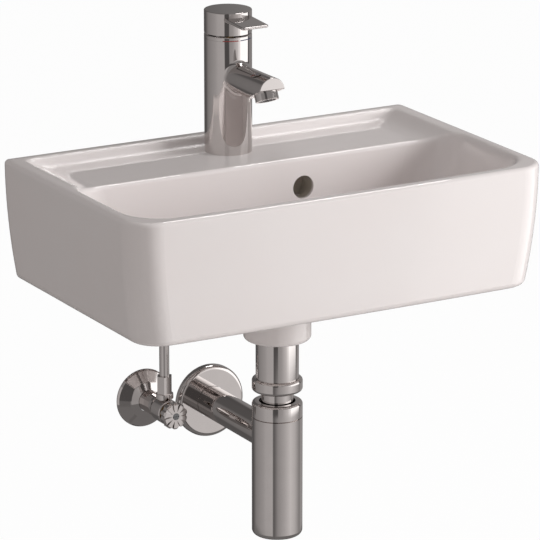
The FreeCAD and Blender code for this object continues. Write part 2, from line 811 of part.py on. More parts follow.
def make_tap_body():
    """Upright cylinder with the spout, bored for the cartridge, the water ways and the fixings."""
    body = new_body("tap_body", y=tap_y, z=deck)
    radius = s.tap_diameter / 2
    turn(body, [(ZERO, ZERO), (radius, ZERO), (radius, s.tap_height - s.tap_chamfer),
                (radius - s.tap_chamfer, s.tap_height), (ZERO, s.tap_height)])
    groove_top = s.tap_height - s.mark_groove_drop
    turn(body, tube(groove_top - s.mark_groove_height, groove_top, radius - s.mark_groove_depth, radius + 1),
         kind="Groove")
    spout = sketch_on(body, "XZ_Plane")
    circle(spout, ZERO, s.spout_height, s.spout_diameter / 2)
    pad(body, spout, s.spout_reach)
    reach = float(s.spout_reach)
    soften(body, "Fillet", s.spout_blend, lambda edge: (
        not isinstance(edge.Curve, (Part.Line, Part.Circle)) and -reach < edge.CenterOfMass.y < 0))

    # The spout's underside is cut off square to the tilted outlet
    slope = tangent(s.outlet_tilt)
    seat_y = -(s.outlet_reach - s.aerator_height * sine(s.outlet_tilt))
    seat_z = s.outlet_height + s.aerator_height * cosine(s.outlet_tilt)
    tip_y = -(s.spout_reach + s.spout_blend)
    below = s.spout_height - s.spout_diameter / 2 - s.spout_blend
    underside = sketch_on(body, "YZ_Plane")
    polygon(underside, [(tip_y, below), (seat_y + (seat_z - below) / slope, below),
                        (tip_y, seat_z + (seat_y - tip_y) * slope)])
    cut(body, underside)
    soften(body, "Fillet", s.spout_edge, lambda edge: edge.BoundBox.YMax < 1 - reach)

    # Bores for the cartridge and its nut, then the way out to the aerator
    cartridge_radius = s.cartridge_diameter / 2 + s.slide_gap
    nut_radius = s.nut_diameter / 2 + s.thread_gap
    chamber = s.outlet_chamber / 2
    above = s.tap_height + 1
    turn(body, [(ZERO, s.cartridge_seat), (chamber, s.cartridge_seat), (chamber, s.chamber_top),
                (cartridge_radius, s.chamber_top), (cartridge_radius, s.nut_bore_bottom),
                (nut_radius, s.nut_bore_bottom), (nut_radius, above), (ZERO, above)], kind="Groove")
    channel = sketch_on(body, "XZ_Plane", chamber - s.spout_blend)
    circle(channel, ZERO, s.spout_height, s.spout_channel / 2)
    cut(body, channel, s.outlet_reach - chamber + s.spout_blend, forward=True)
    thread = sketch_on(body, "XY_Plane")
    thread.AttachmentOffset = FreeCAD.Placement(
        FreeCAD.Vector(0, float(seat_y), float(seat_z)), FreeCAD.Rotation(X_AXIS, -float(s.outlet_tilt)))
    bind(thread, "AttachmentOffset.Base.y", seat_y)
    bind(thread, "AttachmentOffset.Base.z", seat_z)
    circle(thread, ZERO, ZERO, s.aerator_thread / 2 + s.thread_gap)
    cut(body, thread, s.aerator_height, forward=True)

    # From below: the seal groove, two threaded inlets with their ports, and the stud hole
    groove = sketch_on(body, "XY_Plane")
    circle(groove, ZERO, ZERO, s.tap_seal_radius + s.slide_gap)
    circle(groove, ZERO, ZERO, s.tap_seal_radius - s.tap_seal_width - s.slide_gap)
    cut(body, groove, s.tap_seal_height, forward=True)
    for side in (-1, 1):
        inlet = sketch_on(body, "XY_Plane")
        circle(inlet, s.inlet_offset * side, -s.inlet_forward, tube_radius + s.thread_gap)
        cut(body, inlet, s.inlet_depth, forward=True)
        port = sketch_on(body, "XY_Plane")
        circle(port, s.inlet_offset * side, -s.inlet_forward, s.port_diameter / 2)
        cut(body, port, s.cartridge_seat + 1, forward=True)
    stud_hole = sketch_on(body, "XY_Plane")
    circle(stud_hole, ZERO, s.tap_stud_back, s.tap_stud_diameter / 2 + s.thread_gap)
    cut(body, stud_hole, s.tap_stud_in_body, forward=True)
    keep(body)
    keep(turned("tap_base_seal", tube(ZERO, s.tap_seal_height, s.tap_seal_radius - s.tap_seal_width,
                                      s.tap_seal_radius), y=tap_y, z=deck))


def make_aerator():
    """Threaded ring under the spout with its perforated insert, tilted with the outlet."""
    place = {"y": tap_y - s.outlet_reach, "z": deck + s.outlet_height,
             "rotation": FreeCAD.Rotation(X_AXIS, -float(s.outlet_tilt))}
    thread_radius = s.aerator_thread / 2
    inner = thread_radius - s.aerator_wall
    outer = s.aerator_diameter / 2
    top = s.aerator_height * 1.8
    housing = turned("aerator_housing", [
        (inner, ZERO), (outer, ZERO), (outer, s.aerator_height), (thread_radius, s.aerator_height),
        (thread_radius, top), (inner, top)], **place)
    soften(housing, "Fillet", s.aerator_wall / 2, ring_at(outer, ZERO))
    keep(housing)
    insert = new_body("aerator_insert", **place)
    face = sketch_on(insert, "XY_Plane", s.aerator_wall)
    circle(face, ZERO, ZERO, inner - s.slide_gap)
    pad(insert, face, s.aerator_height / 2)
    middle = sketch_on(insert, "XY_Plane", s.aerator_wall)
    circle(middle, ZERO, ZERO, s.aerator_hole / 2)
    cut(insert, middle, s.aerator_height, forward=True)
    for ring in (1, 2):
        hole = sketch_on(insert, "XY_Plane", s.aerator_wall)
        circle(hole, s.aerator_hole * 1.5 * ring, ZERO, s.aerator_hole / 2)
        spread(insert, cut(insert, hole, s.aerator_height, forward=True), 6 * ring)
    keep(insert)


def make_cartridge():
    """Mixing cartridge: housing, base, ceramic discs, carrier, pin and stem, held down by a ring nut."""
    place = {"y": tap_y, "z": deck}
    outer = s.cartridge_diameter / 2
    chamber = outer - s.cartridge_wall
    carrier_radius = s.carrier_diameter / 2
    bore = carrier_radius + s.slide_gap
    collar = s.collar_diameter / 2
    flange_top = s.carrier_bottom + s.carrier_flange_height
    shelf = flange_top + s.slide_gap
    housing = turned("cartridge_housing", [
        (chamber, s.cartridge_seat), (outer, s.cartridge_seat), (outer, s.cartridge_shoulder),
        (collar, s.cartridge_shoulder), (collar, s.cartridge_top), (bore, s.cartridge_top),
        (bore, shelf), (chamber, shelf)], **place)
    window_height = s.cartridge_seat + s.port_diameter
    window = sketch_on(housing, "XZ_Plane", collar / 2)
    circle(window, ZERO, window_height, s.port_diameter / 2)
    cut(housing, window, outer, forward=True)
    keep(housing)

    base_radius = chamber - s.slide_gap
    ports = [(s.inlet_offset * side, -s.inlet_forward) for side in (-1, 1)]
    outlet = (ZERO, -(base_radius - s.port_diameter))
    for name, low, high in (("cartridge_base", s.cartridge_seat, s.disc_level),
                            ("fixed_disc", s.disc_level, s.disc_level + s.disc_thickness)):
        plate = new_body(name, **place)
        outline = sketch_on(plate, "XY_Plane", low)
        circle(outline, ZERO, ZERO, base_radius)
        for centre in ports:
            circle(outline, *centre, s.port_diameter / 2)
        pad(plate, outline, high - low)
        way_out = sketch_on(plate, "XY_Plane", high)
        circle(way_out, *outlet, s.port_diameter / 2)
        if name == "fixed_disc":
            cut(plate, way_out, high - low)
        else:
            cut(plate, way_out, high - window_height)
            side_hole = sketch_on(plate, "XZ_Plane", -outlet[1])
            circle(side_hole, ZERO, window_height, s.port_diameter / 2)
            cut(plate, side_hole, base_radius, forward=True)
            for centre in ports:
                groove = sketch_on(plate, "XY_Plane", low)
                circle(groove, *centre, s.port_diameter * 0.75)
                cut(plate, groove, s.tap_seal_height, forward=True)
        keep(plate)
    seal_radius = s.port_diameter * 0.75 - s.slide_gap
    seal = turned("port_seal", tube(ZERO, s.tap_seal_height, s.port_diameter / 2, seal_radius),
                  x=s.inlet_offset, y=inlet_y, z=deck + s.cartridge_seat)
    keep_pair(seal, "port_seals")

    disc_low = s.disc_level + s.disc_thickness + s.thread_gap
    disc_high = disc_low + s.moving_disc_thickness
    disc = turned("moving_disc", tube(disc_low, disc_high, ZERO, s.moving_disc_diameter / 2), **place)
    half_pocket = s.stem_tip_width / 2 + s.tap_seal_height
    pocket = sketch_on(disc, "XY_Plane", disc_high)
    rectangle(pocket, -half_pocket, half_pocket, -half_pocket, half_pocket)
    cut(disc, pocket, s.moving_disc_thickness / 2)
    keep(disc)

    flange = s.carrier_flange / 2
    carrier = turned("lever_carrier", [
        (ZERO, s.carrier_bottom), (flange, s.carrier_bottom), (flange, flange_top),
        (carrier_radius, flange_top), (carrier_radius, s.carrier_top), (ZERO, s.carrier_top)], **place)
    half_stem = s.stem_width / 2
    slot = sketch_on(carrier, "XY_Plane", s.carrier_top)
    rectangle(slot, -(half_stem + s.loose_gap), half_stem + s.loose_gap,
              -(carrier_radius - s.carrier_flange_height / 2), half_stem + s.pin_diameter / 2)
    cut(carrier, slot, s.carrier_top - s.carrier_bottom + 1)
    pin_radius = s.pin_diameter / 2
    cross = sketch_on(carrier, "YZ_Plane")
    circle(cross, ZERO, pivot_height, pin_radius + s.thread_gap)
    cut(carrier, cross)
    keep(carrier)
    pin = new_body("lever_pin", **place)
    round_pin = sketch_on(pin, "YZ_Plane")
    circle(round_pin, ZERO, pivot_height, pin_radius)
    pad(pin, round_pin, s.carrier_diameter - s.pin_diameter / 2, both_ways=True)
    keep(pin)

    stem = new_body("lever_stem", **place)
    tip_low = pivot_height - s.stem_tip_drop
    tip_high = tip_low + s.stem_tip_length
    for half, low, high in ((half_stem, tip_high, pivot_height + s.stem_rise),
                            (s.stem_tip_width / 2, tip_low, tip_high)):
        section = sketch_on(stem, "XY_Plane", low)
        rectangle(section, -half, half, -half, half)
        pad(stem, section, high - low)
    eye = sketch_on(stem, "YZ_Plane")
    circle(eye, ZERO, pivot_height, pin_radius + s.thread_gap)
    cut(stem, eye)
    keep(stem)
    keep(turned("cartridge_nut", tube(s.cartridge_shoulder, s.cartridge_top, collar + s.loose_gap,
                                      s.nut_diameter / 2), **place))


def make_lever():
    """Cap and blade in one casting, clamped on the stem by a set screw at the back."""
    body = new_body("lever", y=tap_y, z=deck)
    radius = s.tap_diameter / 2
    inner = radius - s.cap_wall
    ceiling = cap_top - s.cap_roof
    turn(body, [(ZERO, ceiling), (inner, ceiling), (inner, lever_base + s.cap_bevel),
                (radius - s.cap_lip, lever_base), (radius, lever_base), (radius, cap_top), (ZERO, cap_top)])
    blade_top = cap_top - s.blade_drop
    root = -(inner - s.cap_wall)
    tip = -s.blade_reach
    tip_top = blade_top - s.blade_fall
    blade = sketch_on(body, "YZ_Plane")
    polygon(blade, [(tip, tip_top - s.blade_tip), (root, blade_top - s.blade_root), (root, blade_top),
                    (tip, tip_top)])
    pad(body, blade, s.blade_width, both_ways=True)
    front = float(tip)
    soften(body, "Fillet", s.blade_corner, lambda edge: (
        edge.CenterOfMass.y < front + 0.1 and edge.BoundBox.XLength < 0.1))
    low = float(tip_top - s.blade_tip)
    high = float(blade_top)
    soften(body, "Fillet", s.blade_tip * 0.4, lambda edge: (
        edge.CenterOfMass.y < -float(radius) - 1 and low - 0.1 < edge.CenterOfMass.z < high + 0.1
        and not (edge.BoundBox.ZLength > 2 and edge.BoundBox.YLength < 0.1)))
    soften(body, "Fillet", s.cap_wall / 3, ring_at(radius, cap_top))
    socket_low = lever_base + s.cap_wall
    socket = sketch_on(body, "XY_Plane", socket_low)
    circle(socket, ZERO, ZERO, s.socket_diameter / 2)
    pad(body, socket, ceiling - socket_low + 1)
    square = sketch_on(body, "XY_Plane", socket_low)
    grip = s.stem_width / 2 + s.thread_gap
    rectangle(square, -grip, grip, -grip, grip)
    stem_top = pivot_height + s.stem_rise
    cut(body, square, stem_top + s.loose_gap - socket_low, forward=True)
    screw_radius = s.lever_screw_diameter / 2
    screw_height = lever_base + s.lever_screw_height
    way_in = sketch_on(body, "XZ_Plane")
    circle(way_in, ZERO, screw_height, screw_radius + s.thread_gap)
    cut(body, way_in, radius + 1)
    keep(body)

    screw = turned("lever_screw", tube(grip, s.socket_diameter / 2, ZERO, screw_radius), y=tap_y,
                   z=deck + screw_height, rotation=INTO_WALL)
    key = sketch_on(screw, "XY_Plane", s.socket_diameter / 2)
    hexagon(key, screw_radius)
    cut(screw, key, screw_radius / 2)
    keep(screw)


def make_tap_fixing():
    """Stud, rubber and steel horseshoes and a long nut that pull the tap down on the deck."""
    place = {"y": tap_y, "z": deck}
    stud_radius = s.tap_stud_diameter / 2
    gasket_low = -(s.deck_wall + s.clamp_thickness)
    plate_low = gasket_low - s.clamp_thickness
    nut_low = plate_low - s.tap_nut_height
    stud_place = {"y": tap_y + s.tap_stud_back, "z": deck}
    stud_low = nut_low - s.clamp_thickness
    keep(turned("tap_stud", tube(stud_low, s.tap_stud_in_body, ZERO, stud_radius), **stud_place))
    for name, low in (("clamp_gasket", gasket_low), ("clamp_plate", plate_low)):
        body = new_body(name, **place)
        outline = sketch_on(body, "XY_Plane", low)
        circle(outline, ZERO, ZERO, s.clamp_diameter / 2)
        circle(outline, ZERO, s.tap_stud_back, stud_radius + s.loose_gap)
        pad(body, outline, s.clamp_thickness)
        slot = sketch_on(body, "XY_Plane", low)
        rectangle(slot, -s.clamp_slot / 2, s.clamp_slot / 2, -s.clamp_diameter, s.clamp_slot_back)
        cut(body, slot, s.clamp_thickness, forward=True)
        keep(body)
    keep(hex_nut("tap_nut", s.tap_nut_flats, stud_radius + s.thread_gap, nut_low, plate_low, **stud_place))


def make_supply_tube():
    """Rigid tube that climbs straight from the valve and swings over to the tap in two equal arcs."""
    body = new_body("supply_tube", y=inlet_y)
    low = valve_z + s.neck_height - s.inlet_depth / 2
    bend_high = deck - s.tube_straight
    high = deck + s.inlet_depth
    left, right = float(-s.valve_offset), float(-s.inlet_offset)
    bend, top = float(s.tube_bend), float(bend_high)
    sweep = math.acos(1 - (right - left) / (2 * bend))
    start = top - 2 * bend * math.sin(sweep)

    def arc(x, z, begin, end):
        return Part.ArcOfCircle(Part.Circle(FreeCAD.Vector(x, z, 0), Z_AXIS, bend), begin, end)

    path = sketch_on(body, "XZ_Plane")
    path.addGeometry([
        Part.LineSegment(FreeCAD.Vector(left, float(low), 0), FreeCAD.Vector(left, start, 0)),
        arc(left + bend, start, math.pi - sweep, math.pi),
        arc(right - bend, top, -sweep, 0),
        Part.LineSegment(FreeCAD.Vector(right, top, 0), FreeCAD.Vector(right, float(high), 0))])
    path.addConstraint([
        Sketcher.Constraint("Tangent", 0, 2, 1, 2), Sketcher.Constraint("Tangent", 1, 1, 2, 1),
        Sketcher.Constraint("Tangent", 2, 2, 3, 1), Sketcher.Constraint("Vertical", 0),
        Sketcher.Constraint("Vertical", 3), Sketcher.Constraint("Equal", 1, 2)])
    hold_point(path, 0, 1, -s.valve_offset, low)
    hold_point(path, 3, 1, -s.inlet_offset, bend_high)
    hold(path, Sketcher.Constraint("DistanceY", -1, 1, 3, 2, float(high)), high)
    hold(path, Sketcher.Constraint("Radius", 1, bend), s.tube_bend)
    section = sketch_on(body, "XY_Plane", low)
    circle(section, -s.valve_offset, ZERO, tube_radius)
    circle(section, -s.valve_offset, ZERO, tube_radius - s.tube_wall)
    pipe = feature(body, "AdditivePipe", section)
    pipe.Spine = (path, ["Edge1", "Edge2", "Edge3", "Edge4"])
    keep(body)


def make_valve():
    """Angle valve: body on its wall thread, disc and spindle inside, knob in front, nut on top."""
    place = {"x": -s.valve_offset, "z": valve_z, "rotation": OUT_OF_WALL}
    thread_radius = s.valve_thread / 2
    pipe_radius = s.valve_tube / 2
    head_radius = s.valve_head / 2
    bore = s.valve_bore / 2
    seat = s.valve_seat / 2
    chamber = s.valve_chamber / 2
    seat_back = s.seat_reach - s.tap_seal_height
    head_back = s.seat_reach - s.nut_collar_height
    neck_radius = s.neck_diameter / 2
    body = new_body("valve_body", **place)
    turn(body, [(ZERO, -s.valve_tail), (thread_radius, -s.valve_tail), (thread_radius, ZERO),
                (pipe_radius, ZERO), (pipe_radius, head_back), (head_radius, s.seat_reach),
                (head_radius, s.valve_front), (ZERO, s.valve_front)])
    soften(body, "Fillet", s.tap_seal_height, ring_at(head_radius, s.valve_front))
    neck = sketch_on(body, "XZ_Plane")
    circle(neck, ZERO, valve_reach, neck_radius)
    up = pad(body, neck, s.neck_height)
    up.Reversed = True
    turn(body, [(ZERO, -s.valve_tail - 1), (bore, -s.valve_tail - 1), (bore, seat_back), (seat, seat_back),
                (seat, s.seat_reach), (chamber, s.seat_reach), (chamber, s.valve_front + 1),
                (ZERO, s.valve_front + 1)], kind="Groove")
    way_up = sketch_on(body, "XZ_Plane")
    circle(way_up, ZERO, valve_reach, tube_radius - s.tube_wall)
    cut(body, way_up, s.neck_height + 1)
    socket_low = s.neck_height - s.inlet_depth / 2
    socket = sketch_on(body, "XZ_Plane", -socket_low)
    circle(socket, ZERO, valve_reach, tube_radius + s.thread_gap)
    cut(body, socket, s.inlet_depth)
    keep(body)

    upright = {"x": -s.valve_offset, "y": inlet_y, "z": valve_z}
    nut = new_body("compression_nut", **upright)
    hex_low = s.nut_base + s.nut_collar_height
    collar = sketch_on(nut, "XY_Plane", s.nut_base)
    circle(collar, ZERO, ZERO, s.nut_collar / 2)
    pad(nut, collar, s.nut_collar_height)
    flats = sketch_on(nut, "XY_Plane", s.nut_base)
    hexagon(flats, s.nut_flats)
    pad(nut, flats, s.nut_top - s.nut_base)
    ring_top = s.neck_height + s.ring_height
    thread = sketch_on(nut, "XY_Plane", s.nut_base)
    circle(thread, ZERO, ZERO, neck_radius + s.thread_gap)
    cut(nut, thread, ring_top - s.nut_base, forward=True)
    way = sketch_on(nut, "XY_Plane", s.nut_base)
    circle(way, ZERO, ZERO, tube_radius + s.slide_gap)
    cut(nut, way, s.nut_top, forward=True)
    soften(nut, "Fillet", s.tube_wall / 2, ring_at(s.nut_collar / 2, hex_low))
    turn(nut, [(s.nut_flats / 2, s.nut_top + s.tube_wall), (s.nut_flats, s.nut_top + s.tube_wall),
               (s.nut_flats, s.nut_top - s.nut_flats / 2 + s.tube_wall)], kind="Groove")
    keep(nut)
    ring_bore = tube_radius + s.thread_gap
    keep(turned("compression_ring", tube(s.neck_height, ring_top, ring_bore, neck_radius), **upright))

    # Disc carrier with its washer, driven along the axis by the spindle's thread
    spindle_radius = s.spindle_diameter / 2
    screw_radius = spindle_radius * 0.7
    washer_low = s.seat_reach + s.thread_gap
    disc_low = washer_low + s.disc_washer_thickness
    disc_high = disc_low + s.disc_carrier_height
    disc_radius = chamber - s.loose_gap
    gland_low = s.valve_front - s.gland_thread
    shoulder_low = gland_low - s.disc_washer_thickness
    keep(turned("valve_washer", tube(washer_low, disc_low, ZERO, disc_radius), **place))
    keep(turned("valve_disc", [
        (ZERO, disc_low), (disc_radius, disc_low), (disc_radius, disc_high),
        (screw_radius + s.slide_gap, disc_high), (screw_radius + s.slide_gap, disc_low + s.tube_wall),
        (ZERO, disc_low + s.tube_wall)], **place))
    gland_front = s.valve_front + s.gland_head
    gland = new_body("gland_nut", **place)
    turn(gland, tube(gland_low, s.valve_front, spindle_radius + s.thread_gap, chamber - s.thread_gap))
    head = sketch_on(gland, "XY_Plane", s.valve_front)
    hexagon(head, s.gland_flats)
    circle(head, ZERO, ZERO, spindle_radius + s.thread_gap)
    pad(gland, head, s.gland_head)
    keep(gland)
    shoulder_radius = chamber - s.tube_wall
    shoulder_high = gland_low - s.thread_gap
    spindle_low = disc_high - s.disc_washer_thickness
    keep(turned("valve_spindle", [
        (ZERO, spindle_low), (screw_radius, spindle_low), (screw_radius, shoulder_low),
        (shoulder_radius, shoulder_low), (shoulder_radius, shoulder_high), (spindle_radius, shoulder_high),
        (spindle_radius, s.spindle_end), (ZERO, s.spindle_end)], **place))
    make_knob(place, gland_front, spindle_radius)

    rosette_radius = s.valve_rosette_diameter / 2
    opening = pipe_radius + s.loose_gap
    wall = s.rosette_wall
    bell = s.valve_rosette_height
    mid_radius = rosette_radius * 0.62
    mid_height = bell * 0.78
    rosette = turned("valve_rosette", [
        (opening, bell - wall), (opening, bell), (mid_radius, mid_height), (rosette_radius - wall, wall * 2),
        (rosette_radius, wall), (rosette_radius, ZERO), (rosette_radius - wall, ZERO),
        (rosette_radius - wall * 1.5, wall), (mid_radius, mid_height - wall)], **place)
    soften(rosette, "Fillet", bell / 2, ring_at(mid_radius, mid_height))
    keep(rosette)


def make_knob(place, gland_front, spindle_radius):
    """Fluted knob with a ribbed star face, held on the spindle by a screw."""
    radius = s.knob_diameter / 2
    front = s.knob_back + s.knob_length
    knob = new_body("valve_knob", **place)
    turn(knob, [(ZERO, s.knob_back), (radius, s.knob_back), (radius, front), (ZERO, front)])
    soften(knob, "Chamfer", s.tap_seal_height, ring_at(radius, front))
    flute = sketch_on(knob, "XY_Plane", front)
    circle(flute, radius + s.flute_radius * 0.6, ZERO, s.flute_radius)
    spread(knob, cut(knob, flute, s.knob_length), s.knob_flutes)
    head = s.knob_screw_head / 2
    rib = sketch_on(knob, "XY_Plane", front)
    polygon(rib, [(head + s.tube_wall, ZERO), (radius, -s.tap_seal_height), (radius, s.tap_seal_height)])
    spread(knob, cut(knob, rib, s.tap_seal_height), s.knob_flutes)
    bore = sketch_on(knob, "XY_Plane", s.knob_back)
    circle(bore, ZERO, ZERO, spindle_radius + s.thread_gap)
    cut(knob, bore, s.spindle_end - s.knob_back, forward=True)
    screw_hole = sketch_on(knob, "XY_Plane", front)
    circle(screw_hole, ZERO, ZERO, spindle_radius / 2 + s.thread_gap)
    cut(knob, screw_hole, front - s.spindle_end + 1)
    sink = sketch_on(knob, "XY_Plane", front)
    circle(sink, ZERO, ZERO, head + s.slide_gap)
    cut(knob, sink, s.tap_seal_height)
    keep(knob)
    shaft = spindle_radius / 2
    head_low = front - s.tap_seal_height
    screw = turned("knob_screw", [
        (ZERO, s.spindle_end), (shaft, s.spindle_end), (shaft, head_low), (head, head_low), (head, front),
        (ZERO, front)], **place)
    driver = sketch_on(screw, "XY_Plane", front)
    rectangle(driver, -head, head, -s.rosette_wall / 4, s.rosette_wall / 4)
    cut(screw, driver, s.tap_seal_height / 2)
    keep(screw)


def make_waste():
    """Push-open waste: flange and shank through the boss, plug on its guide, sleeve nut below."""
    place = {"y": drain_y, "z": rim}
    flange_radius = s.flange_diameter / 2
    shank = s.shank_diameter / 2
    bore = shank - s.shank_wall
    seal_top = -(seat_drop - s.flange_seal_thickness)
    flange_top = seal_top + s.flange_thickness
    dish = seal_top + s.flange_thickness / 2
    plug_radius = s.plug_diameter / 2
    shank_low = seal_top - s.shank_length
    seal_bore = shank + s.loose_gap
    bevel = s.flange_thickness / 4
    keep(turned("flange_seal", tube(-seat_drop, seal_top, seal_bore, flange_radius - s.loose_gap), **place))
    flange = turned("waste_flange", [
        (bore, shank_low), (shank, shank_low), (shank, seal_top), (flange_radius, seal_top),
        (flange_radius, flange_top - bevel), (flange_radius - bevel, flange_top),
        (plug_radius + bevel * 2, flange_top), (plug_radius + s.loose_gap, dish), (bore, dish)], **place)
    slot = sketch_on(flange, "XZ_Plane")
    slot_low = -(seat_drop + collar_seat_drop + s.slot_height) / 2
    rectangle(slot, -s.slot_width / 2, s.slot_width / 2, slot_low, slot_low + s.slot_height)
    cut(flange, slot)
    guide_radius = s.guide_diameter / 2
    hub_radius = s.hub_diameter / 2
    web = sketch_on(flange, "XY_Plane", shank_low)
    rectangle(web, -(bore + s.shank_wall / 2), bore + s.shank_wall / 2, -s.web_spoke / 2, s.web_spoke / 2)
    pad(flange, web, s.web_height)
    hub = sketch_on(flange, "XY_Plane", shank_low)
    circle(hub, ZERO, ZERO, hub_radius)
    pad(flange, hub, s.web_height)
    hub_bore = sketch_on(flange, "XY_Plane", shank_low)
    circle(hub_bore, ZERO, ZERO, guide_radius + s.thread_gap)
    cut(flange, hub_bore, s.web_height, forward=True)
    keep(flange)

    stem_radius = s.plug_stem_diameter / 2
    guide_low = shank_low - s.web_spoke
    guide_top = guide_low + s.guide_length
    keep(turned("plug_guide", [
        (ZERO, guide_low), (guide_radius, guide_low), (guide_radius, guide_top),
        (stem_radius + s.slide_gap, guide_top), (stem_radius + s.slide_gap, guide_low + s.web_spoke),
        (ZERO, guide_low + s.web_spoke)], **place))
    plug_low = dish + s.thread_gap * 2 + s.plug_seal_thickness
    plug_top = plug_low + s.plug_thickness
    stem_low = plug_low - s.plug_stem_length
    plug = turned("plug", [
        (ZERO, stem_low), (stem_radius, stem_low), (stem_radius, plug_low),
        (plug_radius, plug_low), (plug_radius, plug_low + s.plug_thickness / 3),
        (plug_radius * 0.7, plug_top), (ZERO, plug_top)], **place)
    soften(plug, "Fillet", s.plug_thickness * 4, ring_at(plug_radius * 0.7, plug_top))
    keep(plug)
    seal_radius = s.plug_seal_diameter / 2
    plug_seal_low = plug_low - s.plug_seal_thickness
    seal_inner = seal_radius - s.plug_seal_width
    keep(turned("plug_seal", tube(plug_seal_low, plug_low, seal_inner, seal_radius), **place))

    seal_low = -(collar_seat_drop + s.lower_seal_thickness)
    nut_radius = s.sleeve_nut_diameter / 2
    sleeve_radius = s.sleeve_diameter / 2
    nut_low = seal_low - s.sleeve_nut_height
    keep(turned("lower_seal", tube(seal_low, -collar_seat_drop, shank + s.loose_gap, nut_radius), **place))
    thread = shank + s.thread_gap
    inner = sleeve_radius - s.sleeve_wall
    keep(turned("waste_sleeve", [
        (thread, seal_low), (nut_radius, seal_low), (nut_radius, nut_low), (sleeve_radius, nut_low),
        (sleeve_radius, -s.sleeve_drop), (inner, -s.sleeve_drop), (inner, shank_low - s.loose_gap),
        (thread, shank_low - s.loose_gap)], **place))


def make_trap():
    """Bottle trap: union nut, dip tube, cap and bottle, with the outlet pipe to the wall."""
    place = {"y": drain_y, "z": rim}
    sleeve_radius = s.sleeve_diameter / 2
    union_radius = s.union_diameter / 2
    gasket_low = -(s.sleeve_drop + s.gasket_thickness)
    collar_low = gasket_low - s.dip_collar_thickness
    collar_radius = sleeve_radius - s.loose_gap
    inner = waste_radius - s.waste_tube_wall
    keep(turned("union_gasket", tube(gasket_low, -s.sleeve_drop, waste_radius, collar_radius), **place))
    keep(turned("dip_tube", [
        (inner, gasket_low), (collar_radius, gasket_low), (collar_radius, collar_low),
        (waste_radius, collar_low), (waste_radius, -s.dip_tube_drop), (inner, -s.dip_tube_drop)], **place))
    union_low = -(s.union_drop + s.union_height)
    thread = sleeve_radius + s.thread_gap
    lip = waste_radius + s.loose_gap
    union = turned("union_nut", [
        (thread, -s.union_drop), (union_radius, -s.union_drop), (union_radius, union_low), (lip, union_low),
        (lip, collar_low), (thread, collar_low)], **place)
    for height in (-s.union_drop, union_low):
        soften(union, "Fillet", s.union_round, ring_at(union_radius, height))
    keep(union)

    trap_radius = s.trap_diameter / 2
    neck = s.trap_neck_diameter / 2
    shoulder = -s.trap_shoulder_drop
    neck_top = shoulder + s.trap_neck_height
    mouth = neck - s.trap_wall
    roof_low = -(s.trap_cap_drop + s.trap_cap_roof)
    seal_low = roof_low - s.cone_seal_height
    opening = s.trap_cap_opening / 2
    cap_bore = neck + s.thread_gap
    cap = turned("trap_cap", [
        (opening, -s.trap_cap_drop), (trap_radius, -s.trap_cap_drop), (trap_radius, shoulder),
        (cap_bore, shoulder), (cap_bore, roof_low), (opening, roof_low)], **place)
    soften(cap, "Fillet", s.union_round, ring_at(trap_radius, -s.trap_cap_drop))
    keep(cap)
    seal_bore = waste_radius + s.thread_gap
    keep(turned("cone_seal", [
        (seal_bore, seal_low), (mouth - s.trap_wall / 2, seal_low), (mouth - s.slide_gap, roof_low),
        (seal_bore, roof_low)], **place))
    bottom = -s.trap_bottom_drop
    cavity = trap_radius - s.trap_wall
    inside_top = shoulder - s.trap_wall
    throat = waste_radius + s.trap_wall
    bottle = turned("trap_body", [
        (ZERO, bottom), (trap_radius, bottom), (trap_radius, shoulder), (neck, shoulder), (neck, neck_top),
        (mouth, neck_top), (mouth, seal_low), (throat, seal_low), (throat, inside_top), (cavity, inside_top),
        (cavity, bottom + s.trap_wall), (ZERO, bottom + s.trap_wall)], **place)
    soften(bottle, "Fillet", s.trap_round, ring_at(trap_radius, bottom))
    soften(bottle, "Fillet", s.trap_round - s.trap_wall, ring_at(cavity, bottom + s.trap_wall))
    side = sketch_on(bottle, "XZ_Plane")
    circle(side, ZERO, -s.outlet_drop, waste_radius + s.thread_gap)
    cut(bottle, side, s.trap_diameter)
    keep(bottle)

    wall_place = {"z": rim - s.outlet_drop, "rotation": OUT_OF_WALL}
    # The end in the wall is drawn down a little, so that it slides into the socket's lip seal
    end_radius = s.outlet_end / 2
    pipe = turned("outlet_pipe", [
        (inner, -s.outlet_in_wall), (end_radius, -s.outlet_in_wall), (end_radius, ZERO),
        (waste_radius, ZERO), (waste_radius, s.drain_setback), (inner, s.drain_setback)], **wall_place)
    saddle = sketch_on(pipe, "XZ_Plane")
    circle(saddle, ZERO, s.drain_setback, cavity)
    cut(pipe, saddle)
    keep(pipe)
    rosette_radius = s.waste_rosette_diameter / 2
    height = s.waste_rosette_height
    wall = s.rosette_wall
    opening = waste_radius + s.loose_gap
    rosette = turned("waste_rosette", [
        (opening, height), (rosette_radius, height), (rosette_radius, ZERO), (rosette_radius - wall, ZERO),
        (rosette_radius - wall, height - wall), (opening, height - wall)], **wall_place)
    soften(rosette, "Fillet", s.waste_rosette_round, ring_at(rosette_radius, height))
    soften(rosette, "Fillet", s.waste_rosette_round - wall, ring_at(rosette_radius - wall, height - wall))
    keep(rosette)


def check_and_write():
    """Stop on any object that failed, then write one file for each node."""
    doc.recompute()
    for thing in doc.Objects:
        if "Invalid" in thing.State or "Error" in thing.State:
            raise RuntimeError(f"{thing.Name} failed: {thing.State}")
    for node in nodes:
        if node.Shape.isNull() or not node.Shape.isValid() or not node.Shape.Solids:
            raise RuntimeError(f"{node.Label} has no valid solid")
    os.makedirs("parts", exist_ok=True)
    for node in nodes:
        node.Shape.exportStep(f"parts/{node.Label}.step")


make_basin()
make_wall_fixing()
make_tap_body()
make_aerator()
make_cartridge()
make_lever()
make_tap_fixing()
make_supply_tube()
make_valve()
make_waste()
make_trap()
check_and_write()
